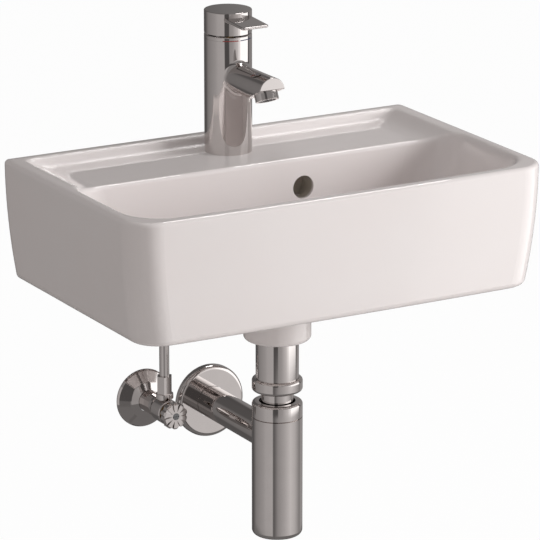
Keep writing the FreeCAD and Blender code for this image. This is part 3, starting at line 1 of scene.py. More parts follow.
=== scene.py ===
"""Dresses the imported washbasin: a glazed casting, chromed fittings and small pieces that only show close up.

Everything is in metres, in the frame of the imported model: the wall is y = 0 and +Z is up.
"""
import math

import bmesh
import bpy
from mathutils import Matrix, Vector


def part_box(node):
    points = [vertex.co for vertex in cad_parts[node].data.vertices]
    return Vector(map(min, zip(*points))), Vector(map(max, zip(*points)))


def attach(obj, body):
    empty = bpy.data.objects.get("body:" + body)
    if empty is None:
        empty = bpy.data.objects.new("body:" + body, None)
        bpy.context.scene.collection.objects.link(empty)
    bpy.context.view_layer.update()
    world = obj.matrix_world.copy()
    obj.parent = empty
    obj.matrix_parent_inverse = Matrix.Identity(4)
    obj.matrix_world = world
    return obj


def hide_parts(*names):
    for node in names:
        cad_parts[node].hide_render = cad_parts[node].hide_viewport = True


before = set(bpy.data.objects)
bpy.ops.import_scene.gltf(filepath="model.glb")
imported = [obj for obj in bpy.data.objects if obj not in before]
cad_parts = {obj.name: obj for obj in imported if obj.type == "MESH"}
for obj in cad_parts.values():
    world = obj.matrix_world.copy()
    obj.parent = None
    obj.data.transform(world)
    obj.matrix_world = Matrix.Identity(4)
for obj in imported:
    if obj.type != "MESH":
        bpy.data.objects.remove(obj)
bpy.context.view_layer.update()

bl_info = {
    "name": "Washbasin dresser",
    "version": (1, 0, 0),
    "blender": (4, 5, 0),
    "location": "View3D > Sidebar > Washbasin",
    "description": "Finishes a wall-hung washbasin with its tap, valve and trap",
    "category": "Object",
}

MM = 0.001

# Axis, radius and top of the tap body, read from the frame
TAP_LOW, TAP_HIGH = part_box("tap_body")
TAP_X = (TAP_LOW[0] + TAP_HIGH[0]) / 2
TAP_RADIUS = (TAP_HIGH[0] - TAP_LOW[0]) / 2
TAP_Y = TAP_HIGH[1] - TAP_RADIUS
TAP_TOP = TAP_HIGH[2]

# CAD nodes by finish
CHROMED = ("tap_body", "lever", "aerator_housing", "supply_tube", "valve_body", "compression_nut",
           "valve_knob", "valve_rosette", "waste_flange", "plug", "waste_sleeve", "dip_tube",
           "union_nut", "trap_cap", "trap_body", "outlet_pipe", "waste_rosette")
BRASS = ("lever_stem", "cartridge_nut", "tap_nut", "compression_ring", "valve_disc", "gland_nut",
         "valve_spindle")
ZINC = ("wall_studs", "stud_washers", "stud_nuts", "lever_pin", "lever_screw", "tap_stud", "clamp_plate",
        "knob_screw")
RUBBER = ("tap_base_seal", "port_seals", "clamp_gasket", "valve_washer", "flange_seal", "plug_seal",
          "lower_seal", "union_gasket", "cone_seal")
NYLON = ("stud_bushes", "cartridge_housing")
ACETAL = ("aerator_insert", "cartridge_base", "lever_carrier", "plug_guide")
LAPPED = ("fixed_disc", "moving_disc")

# Zones of the casting, as ranges of y over which looks fade; at the ends, of the distance from the middle
GROUND_BACK = (-0.9 * MM, -0.3 * MM)
SOFT_BACK = (-85 * MM, -70 * MM)
SOFT_ENDS = (175 * MM, 200 * MM)
CRISP_FRONT = (-262 * MM, -245 * MM)
SOFT_RADIUS = 9 * MM
# The glaze's second tone, as shares of the first
WARM_GLAZE = (0.985, 0.962, 0.955)

# Overflow duct: middle of its hole with no depth, radius, and its mouth and rear as y
OVERFLOW = (0.05, 0, 0.02)
DUCT_RADIUS = 14 * MM
DUCT_MOUTH = (-104 * MM, -101 * MM)
DUCT_REAR = -70 * MM

# New pieces: how far they stay inside the solids they stand for, and the angle from which edges are sharp
INSET = 0.02 * MM
SHARP_ANGLE = math.radians(35)

# Enamel marks: depth of their face in the groove, start and sweep to one side of the front in degrees, steps
MARK_SINK = 0.05 * MM
MARK_START, MARK_SWEEP = 3, 39
MARK_STEPS = 20

# Threads: depth of each, and how far a ridge's foot reaches into the bar
NUT_THREAD, WALL_THREAD, TAP_THREAD = 0.62 * MM, 1.3 * MM, 0.55 * MM
RIDGE_FOOT = 0.12 * MM
# Ends of the wall studs and the tap's stud: chamfer, and distance from the end to the start of the thread
WALL_CHAMFER, TAP_CHAMFER = 0.7 * MM, 0.6 * MM
WALL_START, TAP_START = 0.8 * MM, 0.7 * MM
# Point of a wall stud: its length, and the radius of the thread's crest at its tip
STUD_POINT, STUD_TIP = 11 * MM, 0.3 * MM

# Trap cap: sides of the turned body and steps of its rounded top edge
CAP_SIDES, CAP_STEPS = 96, 8

# Stage: the point that the lamps aim at and the tent stands round
MIDDLE = (0, -0.1, 0)
# Floor: height, half width, paint, and its share of white to the eye
FLOOR_Z, FLOOR_HALF = -0.79, 8
FLOOR_PAINT, FLOOR_WHITE = "F2F1F0", 0.97
# Light from all round
FILL_TINT, FILL_LIGHT = "F6F1EF", 0.365
# Square softboxes: place, width and watts
LAMPS = {"key": ((2.4, -2.1, 0.97), 1.5, 79), "top": ((-0.5, -0.35, 2.0), 0.6, 4.8)}

# Studio tent: radius, foot, top, sides, brightness, and heights over which its lower wall takes over
TENT_RADIUS, TENT_FOOT, TENT_TOP, TENT_SIDES = 1.25, -0.785, 1.6, 96
TENT_LIGHT = 1.6
TENT_FADE = (-0.5, -0.56)
# Cloth on the floor and overhead: heights over which it darkens, and its tone
DIM_CLOTH = ((-0.77, -0.78, 0.12), (0.3, 0.4, 0.18))
WARM_GREY = (1, 0.96, 0.95)
# Tones of the tent's wall by compass angle in degrees, from -180 round to 180, as shares of the lit panel.
# The tap mirrors the upper wall, and the trap the lower one, where the panel's light fades out softly.
LEFT_CLOTH = ((-180, 0.276), (-170, 0.309), (-139, 0.325))
REAR_CLOTH = ((60, 0.16), (66, 0.066), (112, 0.07), (117, 0.125), (124, 0.14), (130, 0.179), (175, 0.26),
              (180, 0.276))
UPPER_TONES = (*LEFT_CLOTH, (-136, 0.058), (-116, 0.058), (-113, 0.228), (-97, 0.26), (-70, 0.47),
               (-67, 0.62), (-59, 0.68), (-56, 1.0), (-8, 1.0), (-6, 0.08), (4, 0.08), (6, 0.2), *REAR_CLOTH)
LOWER_TONES = (*LEFT_CLOTH, (-136, 0.1), (-130, 0.1), (-115, 0.22), (-87, 0.32), (-58, 0.46), (-35, 0.38),
               (-7, 0.2), (1, 0.18), (11, 0.25), *REAR_CLOTH)

# Strip lamp and grey card: centre, half width and half height; the card's tone changes over a range of x
STRIP = ((0.73, 0.167, 1.41), (0.26, 0, 0), (0, 0.245, -0.05))
STRIP_TINT, STRIP_LIGHT = (1, 0.98, 0.97), 8.5
CARD = ((0.56, 0.85, 0.335), (0.36, 0, 0), (0, 0, 0.05))
CARD_TINT = (1, 0.95, 0.94)
CARD_FADE, CARD_TONES = (0.43, 0.54), (0.1, 0.33)

# Camera: place, turn to the right and tilt in radians, focal length and sensor in millimetres, far limit
CAMERA_PLACE = (-1.800157, -3.308484, 1.030971)
CAMERA_YAW, CAMERA_PITCH = 0.515, -0.288
CAMERA_LENS, CAMERA_SENSOR = 261.16, 36
CAMERA_FAR = 100


def linear(code):
    """An sRGB hex colour as three linear numbers."""
    parts = [int(code[i:i + 2], 16) / 255 for i in (0, 2, 4)]
    return tuple(p / 12.92 if p <= 0.04045 else ((p + 0.055) / 1.055) ** 2.4 for p in parts)


def colour(name, words, code):
    return bpy.props.FloatVectorProperty(name=name, description=words, subtype="COLOR", size=3, min=0, max=1,
                                         default=linear(code))


def length(name, words, millimetres):
    return bpy.props.FloatProperty(name=name, description=words, unit="LENGTH", min=0,
                                   default=millimetres * MM)


class WashbasinColours(bpy.types.PropertyGroup):
    glaze: colour("Glaze", "White of the glazed casting", "EFEAE9")
    biscuit: colour("Biscuit", "Bare fired clay of the ground back", "D6CEC2")
    chrome: colour("Chrome", "Tint of the chrome plating", "D9D4D2")
    brass: colour("Brass", "Turned brass inside the fittings", "B5924C")
    zinc: colour("Zinc", "Zinc plating on the steel fixings", "A9ABAD")
    rubber: colour("Rubber", "Seals and gaskets", "1C1C1D")
    nylon: colour("Nylon", "White moulded bushes", "E6E4DF")
    acetal: colour("Acetal", "Grey moulded inserts", "8A8C8F")
    hot: colour("Hot mark", "Enamel of the hot mark", "A8524E")
    cold: colour("Cold mark", "Enamel of the cold mark", "3D4763")


class WashbasinSizes(bpy.types.PropertyGroup):
    mark_height: length("Mark height", "Height of the enamel in the groove round the tap body", 0.9)
    mark_drop: length("Mark drop", "Distance of the enamel's middle below the top of the tap body", 3.8)
    mark_depth: length("Mark depth", "Depth of the groove that the enamel fills", 0.3)
    stud_shank: length("Stud shank", "Radius of the wall studs where no thread is cut", 4.75)
    wall_pitch: length("Wall thread pitch", "Pitch of the coarse thread in the wall plug", 4.0)
    nut_pitch: length("Nut thread pitch", "Pitch of the fine thread that takes the nut", 1.5)
    tap_pitch: length("Tap stud pitch", "Pitch of the thread on the stud below the tap", 1.25)
    cap_round: length("Cap round", "Radius of the edge on top of the trap's cap", 3.0)
    cap_roof: length("Cap roof", "Thickness of the cap's roof", 4.8)
    cap_opening: length("Cap opening", "Radius of the opening for the dip tube", 18.0)
    cap_bore: length("Cap bore", "Radius inside the cap, round the bottle's neck", 22.3)
    cap_seam: length("Cap seam", "Width of the broken edge at the foot of the cap", 1.1)


def add(tree, kind, links=None, **settings):
    """Add one node: settings go to its properties, links to its sockets as values or as other sockets."""
    node = tree.nodes.new(kind)
    for name, value in settings.items():
        setattr(node, name, value)
    for socket, value in (links or {}).items():
        if isinstance(value, bpy.types.NodeSocket):
            tree.links.new(value, node.inputs[socket])
        else:
            node.inputs[socket].default_value = value
    return node


def new_material(name):
    """An empty node material and its tree."""
    material = bpy.data.materials.new(name)
    material.use_nodes = True
    material.node_tree.nodes.clear()
    return material, material.node_tree


def close(tree, surface):
    """End a material with this surface."""
    add(tree, "ShaderNodeOutputMaterial", {"Surface": surface})


def four(rgb, share=1):
    """A colour with full alpha, at this share of its brightness."""
    return (*(part * share for part in rgb), 1)


def scale_of(millimetres):
    """Noise scale whose grain is about this wide, for coordinates in metres."""
    return 1 / (millimetres * MM)


def softened_normal(tree, spot):
    """Thick glaze softens the corners at the back and at both ends, and leaves the front edge crisp."""
    aside = add(tree, "ShaderNodeMath", {0: spot.outputs["X"]}, operation="ABSOLUTE")
    ends = add(tree, "ShaderNodeMapRange", {
        "Value": aside.outputs[0], "From Min": SOFT_ENDS[0], "From Max": SOFT_ENDS[1]})
    rear = add(tree, "ShaderNodeMapRange", {
        "Value": spot.outputs["Y"], "From Min": SOFT_BACK[0], "From Max": SOFT_BACK[1]})
    thick = add(tree, "ShaderNodeMath", {0: ends.outputs["Result"], 1: rear.outputs["Result"]},
                operation="MAXIMUM")
    pool = add(tree, "ShaderNodeMapRange", {
        "Value": spot.outputs["Y"], "From Min": CRISP_FRONT[0], "From Max": CRISP_FRONT[1],
        "To Max": thick.outputs[0]})
    crisp = add(tree, "ShaderNodeNewGeometry")
    soft = add(tree, "ShaderNodeBevel", {"Radius": SOFT_RADIUS}, samples=8)
    facing = add(tree, "ShaderNodeMix", {
        "Factor": pool.outputs["Result"], "A": crisp.outputs["Normal"], "B": soft.outputs["Normal"]},
        data_type="VECTOR")
    return facing.outputs["Result"]


def duct_clay_and_shade(tree, place, depth):
    """1 on the duct's walls, fading out at its mouth in the bowl; its bare clay is darkened as painted shade.
    """
    flat = add(tree, "ShaderNodeVectorMath", {0: place, 1: (1, 0, 1)}, operation="MULTIPLY")
    away = add(tree, "ShaderNodeVectorMath", {0: flat.outputs[0], 1: OVERFLOW}, operation="DISTANCE")
    near = add(tree, "ShaderNodeMath", {0: away.outputs["Value"], 1: DUCT_RADIUS}, operation="LESS_THAN")
    sunk = add(tree, "ShaderNodeMath", {0: depth, 1: DUCT_REAR}, operation="LESS_THAN")
    channel = add(tree, "ShaderNodeMath", {0: near.outputs[0], 1: sunk.outputs[0]}, operation="MULTIPLY")
    inside = add(tree, "ShaderNodeMapRange", {
        "Value": depth, "From Min": DUCT_MOUTH[0], "From Max": DUCT_MOUTH[1], "To Max": channel.outputs[0]})
    return inside.outputs["Result"]


def sanitary_glaze(colours):
    """Vitreous china under a fired white glaze: a wet gloss, faint waves and a warmer tone in places.

    The back was ground flat after firing, so there the clay is bare, dull and yellower.
    """
    material, tree = new_material("sanitary_glaze")
    place = add(tree, "ShaderNodeTexCoord").outputs["Object"]
    spot = add(tree, "ShaderNodeSeparateXYZ", {"Vector": place})
    depth = spot.outputs["Y"]

    tone = add(tree, "ShaderNodeTexNoise", {"Vector": place, "Scale": scale_of(90), "Detail": 2.0})
    warm = [part * share for part, share in zip(colours.glaze, WARM_GLAZE)]
    tint = add(tree, "ShaderNodeMix", {
        "Factor": tone.outputs["Fac"], "A": four(colours.glaze), "B": four(warm)}, data_type="RGBA")
    gloss = add(tree, "ShaderNodeMapRange", {"Value": tone.outputs["Fac"], "To Min": 0.05, "To Max": 0.09})
    wave = add(tree, "ShaderNodeTexNoise", {"Vector": place, "Scale": scale_of(22), "Detail": 1.0})
    bump = add(tree, "ShaderNodeBump", {
        "Height": wave.outputs["Fac"], "Strength": 0.06, "Distance": 0.5 * MM,
        "Normal": softened_normal(tree, spot)})

    # Bare clay takes over on the ground back and in the overflow duct, where it is darkened as painted shade
    ground = add(tree, "ShaderNodeMapRange", {
        "Value": depth, "From Min": GROUND_BACK[0], "From Max": GROUND_BACK[1]}).outputs["Result"]
    grit = add(tree, "ShaderNodeTexNoise", {"Vector": place, "Scale": scale_of(2.5), "Detail": 5.0})
    clay = add(tree, "ShaderNodeMix", {
        "Factor": grit.outputs["Fac"], "A": four(colours.biscuit), "B": four(colours.biscuit, 0.85)},
        data_type="RGBA")
    outside = add(tree, "ShaderNodeMix", {
        "Factor": ground, "A": tint.outputs["Result"], "B": clay.outputs["Result"]}, data_type="RGBA")
    # In the duct the clay is at three quarters of its brightness: painted shade
    skin = add(tree, "ShaderNodeMix", {
        "Factor": duct_clay_and_shade(tree, place, depth), "A": outside.outputs["Result"],
        "B": four(colours.biscuit, 0.75)}, data_type="RGBA")
    dull = add(tree, "ShaderNodeMix", {"Factor": ground, "A": gloss.outputs["Result"], "B": 0.85})
    wet = add(tree, "ShaderNodeMapRange", {"Value": ground, "To Min": 0.3, "To Max": 0.0})

    surface = add(tree, "ShaderNodeBsdfPrincipled", {
        "Base Color": skin.outputs["Result"], "Roughness": dull.outputs["Result"], "IOR": 1.52,
        "Normal": bump.outputs["Normal"], "Coat Weight": wet.outputs["Result"], "Coat Roughness": 0.04})
    close(tree, surface.outputs["BSDF"])
    return material


def chrome_plate(colours):
    """Polished brass under chrome: a mirror with a trace of buffing and water spots that dull it a little."""
    material, tree = new_material("chrome_plated_brass")
    place = add(tree, "ShaderNodeTexCoord").outputs["Object"]
    spots = add(tree, "ShaderNodeTexNoise", {"Vector": place, "Scale": scale_of(14), "Detail": 3.0})
    gloss = add(tree, "ShaderNodeMapRange", {
        "Value": spots.outputs["Fac"], "From Min": 0.35, "From Max": 0.75, "To Min": 0.035, "To Max": 0.075})
    tint = add(tree, "ShaderNodeMix", {
        "Factor": spots.outputs["Fac"], "A": four(colours.chrome), "B": four(colours.chrome, 0.93)},
        data_type="RGBA")
    buff = add(tree, "ShaderNodeTexNoise", {"Vector": place, "Scale": scale_of(3), "Detail": 2.0})
    bump = add(tree, "ShaderNodeBump", {
        "Height": buff.outputs["Fac"], "Strength": 0.012, "Distance": 0.2 * MM})
    surface = add(tree, "ShaderNodeBsdfPrincipled", {
        "Base Color": tint.outputs["Result"], "Metallic": 1.0, "Roughness": gloss.outputs["Result"],
        "Normal": bump.outputs["Normal"]})
    close(tree, surface.outputs["BSDF"])
    return material


def turned_brass(colours):
    """Bare brass off the lathe: fine rings, and darker where hands have touched it."""
    material, tree = new_material("turned_brass")
    place = add(tree, "ShaderNodeTexCoord").outputs["Object"]
    stain = add(tree, "ShaderNodeTexNoise", {"Vector": place, "Scale": scale_of(9), "Detail": 4.0})
    tint = add(tree, "ShaderNodeMix", {
        "Factor": stain.outputs["Fac"], "A": four(colours.brass), "B": four(colours.brass, 0.62)},
        data_type="RGBA")
    rings = add(tree, "ShaderNodeTexWave", {
        "Vector": place, "Scale": scale_of(1.2) / 6, "Distortion": 1.5}, bands_direction="Z")
    bump = add(tree, "ShaderNodeBump", {
        "Height": rings.outputs["Fac"], "Strength": 0.15, "Distance": 0.1 * MM})
    surface = add(tree, "ShaderNodeBsdfPrincipled", {
        "Base Color": tint.outputs["Result"], "Metallic": 1.0, "Roughness": 0.32,
        "Normal": bump.outputs["Normal"]})
    close(tree, surface.outputs["BSDF"])
    return material


def zinc_plate(colours):
    """Steel under bright zinc: cool grey with a cloudy, slightly rough skin."""
    material, tree = new_material("zinc_plated_steel")
    place = add(tree, "ShaderNodeTexCoord").outputs["Object"]
    cloud = add(tree, "ShaderNodeTexNoise", {"Vector": place, "Scale": scale_of(5), "Detail": 5.0})
    tint = add(tree, "ShaderNodeMix", {
        "Factor": cloud.outputs["Fac"], "A": four(colours.zinc), "B": four(colours.zinc, 0.7)},
        data_type="RGBA")
    gloss = add(tree, "ShaderNodeMapRange", {"Value": cloud.outputs["Fac"], "To Min": 0.28, "To Max": 0.5})
    surface = add(tree, "ShaderNodeBsdfPrincipled", {
        "Base Color": tint.outputs["Result"], "Metallic": 1.0, "Roughness": gloss.outputs["Result"]})
    close(tree, surface.outputs["BSDF"])
    return material


def moulded(name, shade, grain, low, high):
    """A moulded skin: one tone with a fine grain, dull or silky by its two roughness limits."""
    material, tree = new_material(name)
    place = add(tree, "ShaderNodeTexCoord").outputs["Object"]
    skin = add(tree, "ShaderNodeTexNoise", {"Vector": place, "Scale": scale_of(grain), "Detail": 3.0})
    tint = add(tree, "ShaderNodeMix", {
        "Factor": skin.outputs["Fac"], "A": four(shade), "B": four(shade, 0.86)}, data_type="RGBA")
    gloss = add(tree, "ShaderNodeMapRange", {"Value": skin.outputs["Fac"], "To Min": low, "To Max": high})
    bump = add(tree, "ShaderNodeBump", {
        "Height": skin.outputs["Fac"], "Strength": 0.1, "Distance": 0.1 * MM})
    surface = add(tree, "ShaderNodeBsdfPrincipled", {
        "Base Color": tint.outputs["Result"], "Roughness": gloss.outputs["Result"],
        "Normal": bump.outputs["Normal"]})
    close(tree, surface.outputs["BSDF"])
    return material


def dress(names, material):
    """Give CAD nodes a finish."""
    for name in names:
        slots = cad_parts[name].data.materials
        slots.clear()
        slots.append(material)


def new_object(name, mesh, material):
    """A new object in the scene, made from a bmesh and finished."""
    data = bpy.data.meshes.new(name)
    mesh.to_mesh(data)
    mesh.free()
    data.materials.append(material)
    made = bpy.data.objects.new(name, data)
    bpy.context.scene.collection.objects.link(made)
    return made


def new_piece(name, mesh, material, body):
    """A new piece of the washbasin, smooth between its sharp edges and riding on a body."""
    piece = new_object(name, mesh, material)
    piece.data.polygons.foreach_set("use_smooth", [True] * len(piece.data.polygons))
    piece.data.set_sharp_from_angle(angle=SHARP_ANGLE)
    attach(piece, body)
    return piece


def upright(x, y):
    """Gives the point for a height, a radius and a turn about a vertical axis."""
    def place(along, radius, turn):
        return (x + radius * math.cos(turn), y + radius * math.sin(turn), along)
    return place


def level(x):
    """Gives the point for a distance, a radius and a turn about an axis into the wall at height 0."""
    def place(along, radius, turn):
        return (x + radius * math.cos(turn), along, radius * math.sin(turn))
    return place


def loft(mesh, rows, ring=False):
    """Join loops of points by quads, closed by end faces or, as a ring, from the last loop to the first."""
    for a, b in zip(rows, rows[1:] + rows[:1] if ring else rows[1:]):
        for i in range(len(a)):
            j = (i + 1) % len(a)
            mesh.faces.new((a[i], a[j], b[j], b[i]))
    if not ring:
        mesh.faces.new(rows[0])
        mesh.faces.new(rows[-1][::-1])
    bmesh.ops.recalc_face_normals(mesh, faces=mesh.faces)


def turned_bar(mesh, stations, place, sides=32, ring=False):
    """Add a body turned through (distance, radius) stations, about the axis that place stands for."""
    loft(mesh, [[mesh.verts.new(place(along, radius, math.tau * i / sides)) for i in range(sides)]
                for along, radius in stations], ring)


def ridge(mesh, place, low, high, pitch, root, crest, width=0.86, steps=20):
    """Add a closed helical ridge from low to high that runs out at both ends.

    root and crest give its two radii for a distance. width is its foot's share of a pitch, and steps are
    those of one turn.
    """
    count = int((high - low) / pitch * steps)
    foot, flat = pitch * width / 2, pitch * width / 12
    rows = []
    for step in range(count + 1):
        along = low + pitch * step / steps
        turn = math.tau * step / steps
        bottom = root(along) - RIDGE_FOOT
        # The full height is reached after 0.4 of a turn
        rise = min(1, 2.5 * min(step, count - step) / steps)
        top = bottom + (crest(along) - bottom) * max(0.1, rise)
        rows.append([mesh.verts.new(place(along + shift, radius, turn))
                     for shift, radius in ((-foot, bottom), (-flat, top), (flat, top), (foot, bottom))])
    loft(mesh, rows)


class GlazeCasting(bpy.types.Operator):
    """Glaze the ceramic casting"""
    bl_idname = "washbasin.glaze_casting"
    bl_label = "Glaze the casting"

    def execute(self, context):
        dress(["basin"], sanitary_glaze(context.scene.washbasin_colours))
        return {"FINISHED"}


class PlateFittings(bpy.types.Operator):
    """Plate the tap, the valve, the waste and the trap with chrome"""
    bl_idname = "washbasin.plate_fittings"
    bl_label = "Plate the fittings"

    def execute(self, context):
        dress(CHROMED, chrome_plate(context.scene.washbasin_colours))
        return {"FINISHED"}


class FinishInnerPieces(bpy.types.Operator):
    """Finish the pieces inside and behind: brass, zinc, rubber and plastics"""
    bl_idname = "washbasin.finish_inner_pieces"
    bl_label = "Finish the inner pieces"

    def execute(self, context):
        colours = context.scene.washbasin_colours
        dress(BRASS, turned_brass(colours))
        dress(ZINC, zinc_plate(colours))
        # Moulded rubber has a dull bloom; nylon and acetal come silky out of the mould
        dress(RUBBER, moulded("nitrile_rubber", colours.rubber, 2.0, 0.55, 0.8))
        dress(NYLON, moulded("moulded_nylon", colours.nylon, 3.0, 0.3, 0.45))
        dress(ACETAL, moulded("moulded_acetal", colours.acetal, 3.0, 0.3, 0.45))
        dress(LAPPED, moulded("lapped_alumina", colours.nylon, 1.5, 0.12, 0.2))
        return {"FINISHED"}


class MarkTemperatures(bpy.types.Operator):
    """Lay the hot and cold enamel marks round the front of the tap body"""
    bl_idname = "washbasin.mark_temperatures"
    bl_label = "Mark hot and cold"

    def execute(self, context):
        colours = context.scene.washbasin_colours
        for name, shade, side in (("hot_mark", colours.hot, -1), ("cold_mark", colours.cold, 1)):
            enamel = moulded("enamel_" + name, shade, 2.0, 0.15, 0.25)
            piece = new_piece(name, self.arc(context.scene.washbasin_sizes, side), enamel, "fixed")
        return {"FINISHED"}

    def arc(self, sizes, side):
        """A strip in the groove, to one side of the tap's front."""
        inner = TAP_RADIUS - sizes.mark_depth - MARK_SINK
        outer = TAP_RADIUS - MARK_SINK
        middle = TAP_TOP - sizes.mark_drop
        half = sizes.mark_height / 2
        mesh = bmesh.new()
        rows = []
        for step in range(MARK_STEPS + 1):
            turn = math.radians(MARK_START + MARK_SWEEP * step / MARK_STEPS)
            across, out = side * math.sin(turn), math.cos(turn)
            rows.append([mesh.verts.new((TAP_X + radius * across, TAP_Y - radius * out, middle + rise))
                         for radius, rise in ((inner, -half), (outer, -half), (outer, half), (inner, half))])
        loft(mesh, rows)
        return mesh


class CutThreads(bpy.types.Operator):
    """Cut the threads of the wall studs and of the stud that holds the tap down"""
    bl_idname = "washbasin.cut_threads"
    bl_label = "Cut the threads"

    def execute(self, context):
        sizes = context.scene.washbasin_sizes
        zinc = bpy.data.materials["zinc_plated_steel"]
        for node, build in (("wall_studs", self.wall_studs), ("tap_stud", self.tap_stud)):
            piece = new_piece("threaded_" + node, build(sizes), zinc, "fixed")
            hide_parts(node)
        return {"FINISHED"}

    def wall_studs(self, sizes):
        """Hanger bolts: a fine thread for the nut, a plain shank, and a pointed coarse thread in the wall."""
        low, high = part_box("wall_studs")
        front, point = low[1], high[1]
        taper = point - STUD_POINT
        crest = (high[2] - low[2]) / 2 - INSET
        shank = sizes.stud_shank - INSET
        core, root = shank - NUT_THREAD, crest - WALL_THREAD
        # Each step of the bar: its distance into the wall and its radius
        stations = [(front, core - WALL_CHAMFER), (front + WALL_CHAMFER, core), (-2.5 * MM, core),
                    (-2 * MM, shank), (5 * MM, shank), (7 * MM, root), (taper, root),
                    (point - 0.5 * MM, 0.9 * MM), (point, 0.2 * MM)]
        fine, coarse = (front + WALL_START, -2.4 * MM), (8 * MM, point - 3 * MM)

        def tip(along):
            """1 up to the taper, falling to 0 at the point."""
            return min(1, max(0, (point - along) / (point - taper)))

        mesh = bmesh.new()
        for x in (low[0] + crest, high[0] - crest):
            place = level(x)
            turned_bar(mesh, stations, place)
            ridge(mesh, place, *fine, sizes.nut_pitch, lambda along: core, lambda along: shank)
            ridge(mesh, place, *coarse, sizes.wall_pitch, lambda along: root * tip(along),
                  lambda along: crest * tip(along) + STUD_TIP * (1 - tip(along)), width=0.4)
        return mesh

    def tap_stud(self, sizes):
        """A plain length of threaded rod."""
        low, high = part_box("tap_stud")
        foot, head = low[2], high[2]
        crest = (high[0] - low[0]) / 2 - INSET
        core = crest - TAP_THREAD
        place = upright((low[0] + high[0]) / 2, (low[1] + high[1]) / 2)
        mesh = bmesh.new()
        turned_bar(mesh, [(foot, core - TAP_CHAMFER), (foot + TAP_CHAMFER, core), (head, core)], place)
        ridge(mesh, place, foot + TAP_START, head - TAP_START, sizes.tap_pitch, lambda along: core,
              lambda along: crest)
        return mesh


class TurnTrapCap(bpy.types.Operator):
    """Turn the trap's cap with a broken edge at its foot, which shows as the dark seam above the bottle"""
    bl_idname = "washbasin.turn_trap_cap"
    bl_label = "Turn the trap's cap"

    def execute(self, context):
        sizes = context.scene.washbasin_sizes
        low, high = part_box("trap_cap")
        foot, head = low[2], high[2]
        outer = (high[0] - low[0]) / 2
        crown = []
        for step in range(CAP_STEPS + 1):
            turn = math.pi / 2 * step / CAP_STEPS
            crown.append((head - sizes.cap_round * (1 - math.cos(turn)),
                          outer - sizes.cap_round * (1 - math.sin(turn))))
        stations = [(head, sizes.cap_opening), *crown, (foot + sizes.cap_seam, outer),
                    (foot, outer - sizes.cap_seam), (foot, sizes.cap_bore),
                    (head - sizes.cap_roof, sizes.cap_bore), (head - sizes.cap_roof, sizes.cap_opening)]
        mesh = bmesh.new()
        place = upright((low[0] + high[0]) / 2, (low[1] + high[1]) / 2)
        turned_bar(mesh, stations, place, sides=CAP_SIDES, ring=True)
        piece = new_piece("seamed_trap_cap", mesh, bpy.data.materials["chrome_plated_brass"], "fixed")
        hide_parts("trap_cap")
        return {"FINISHED"}


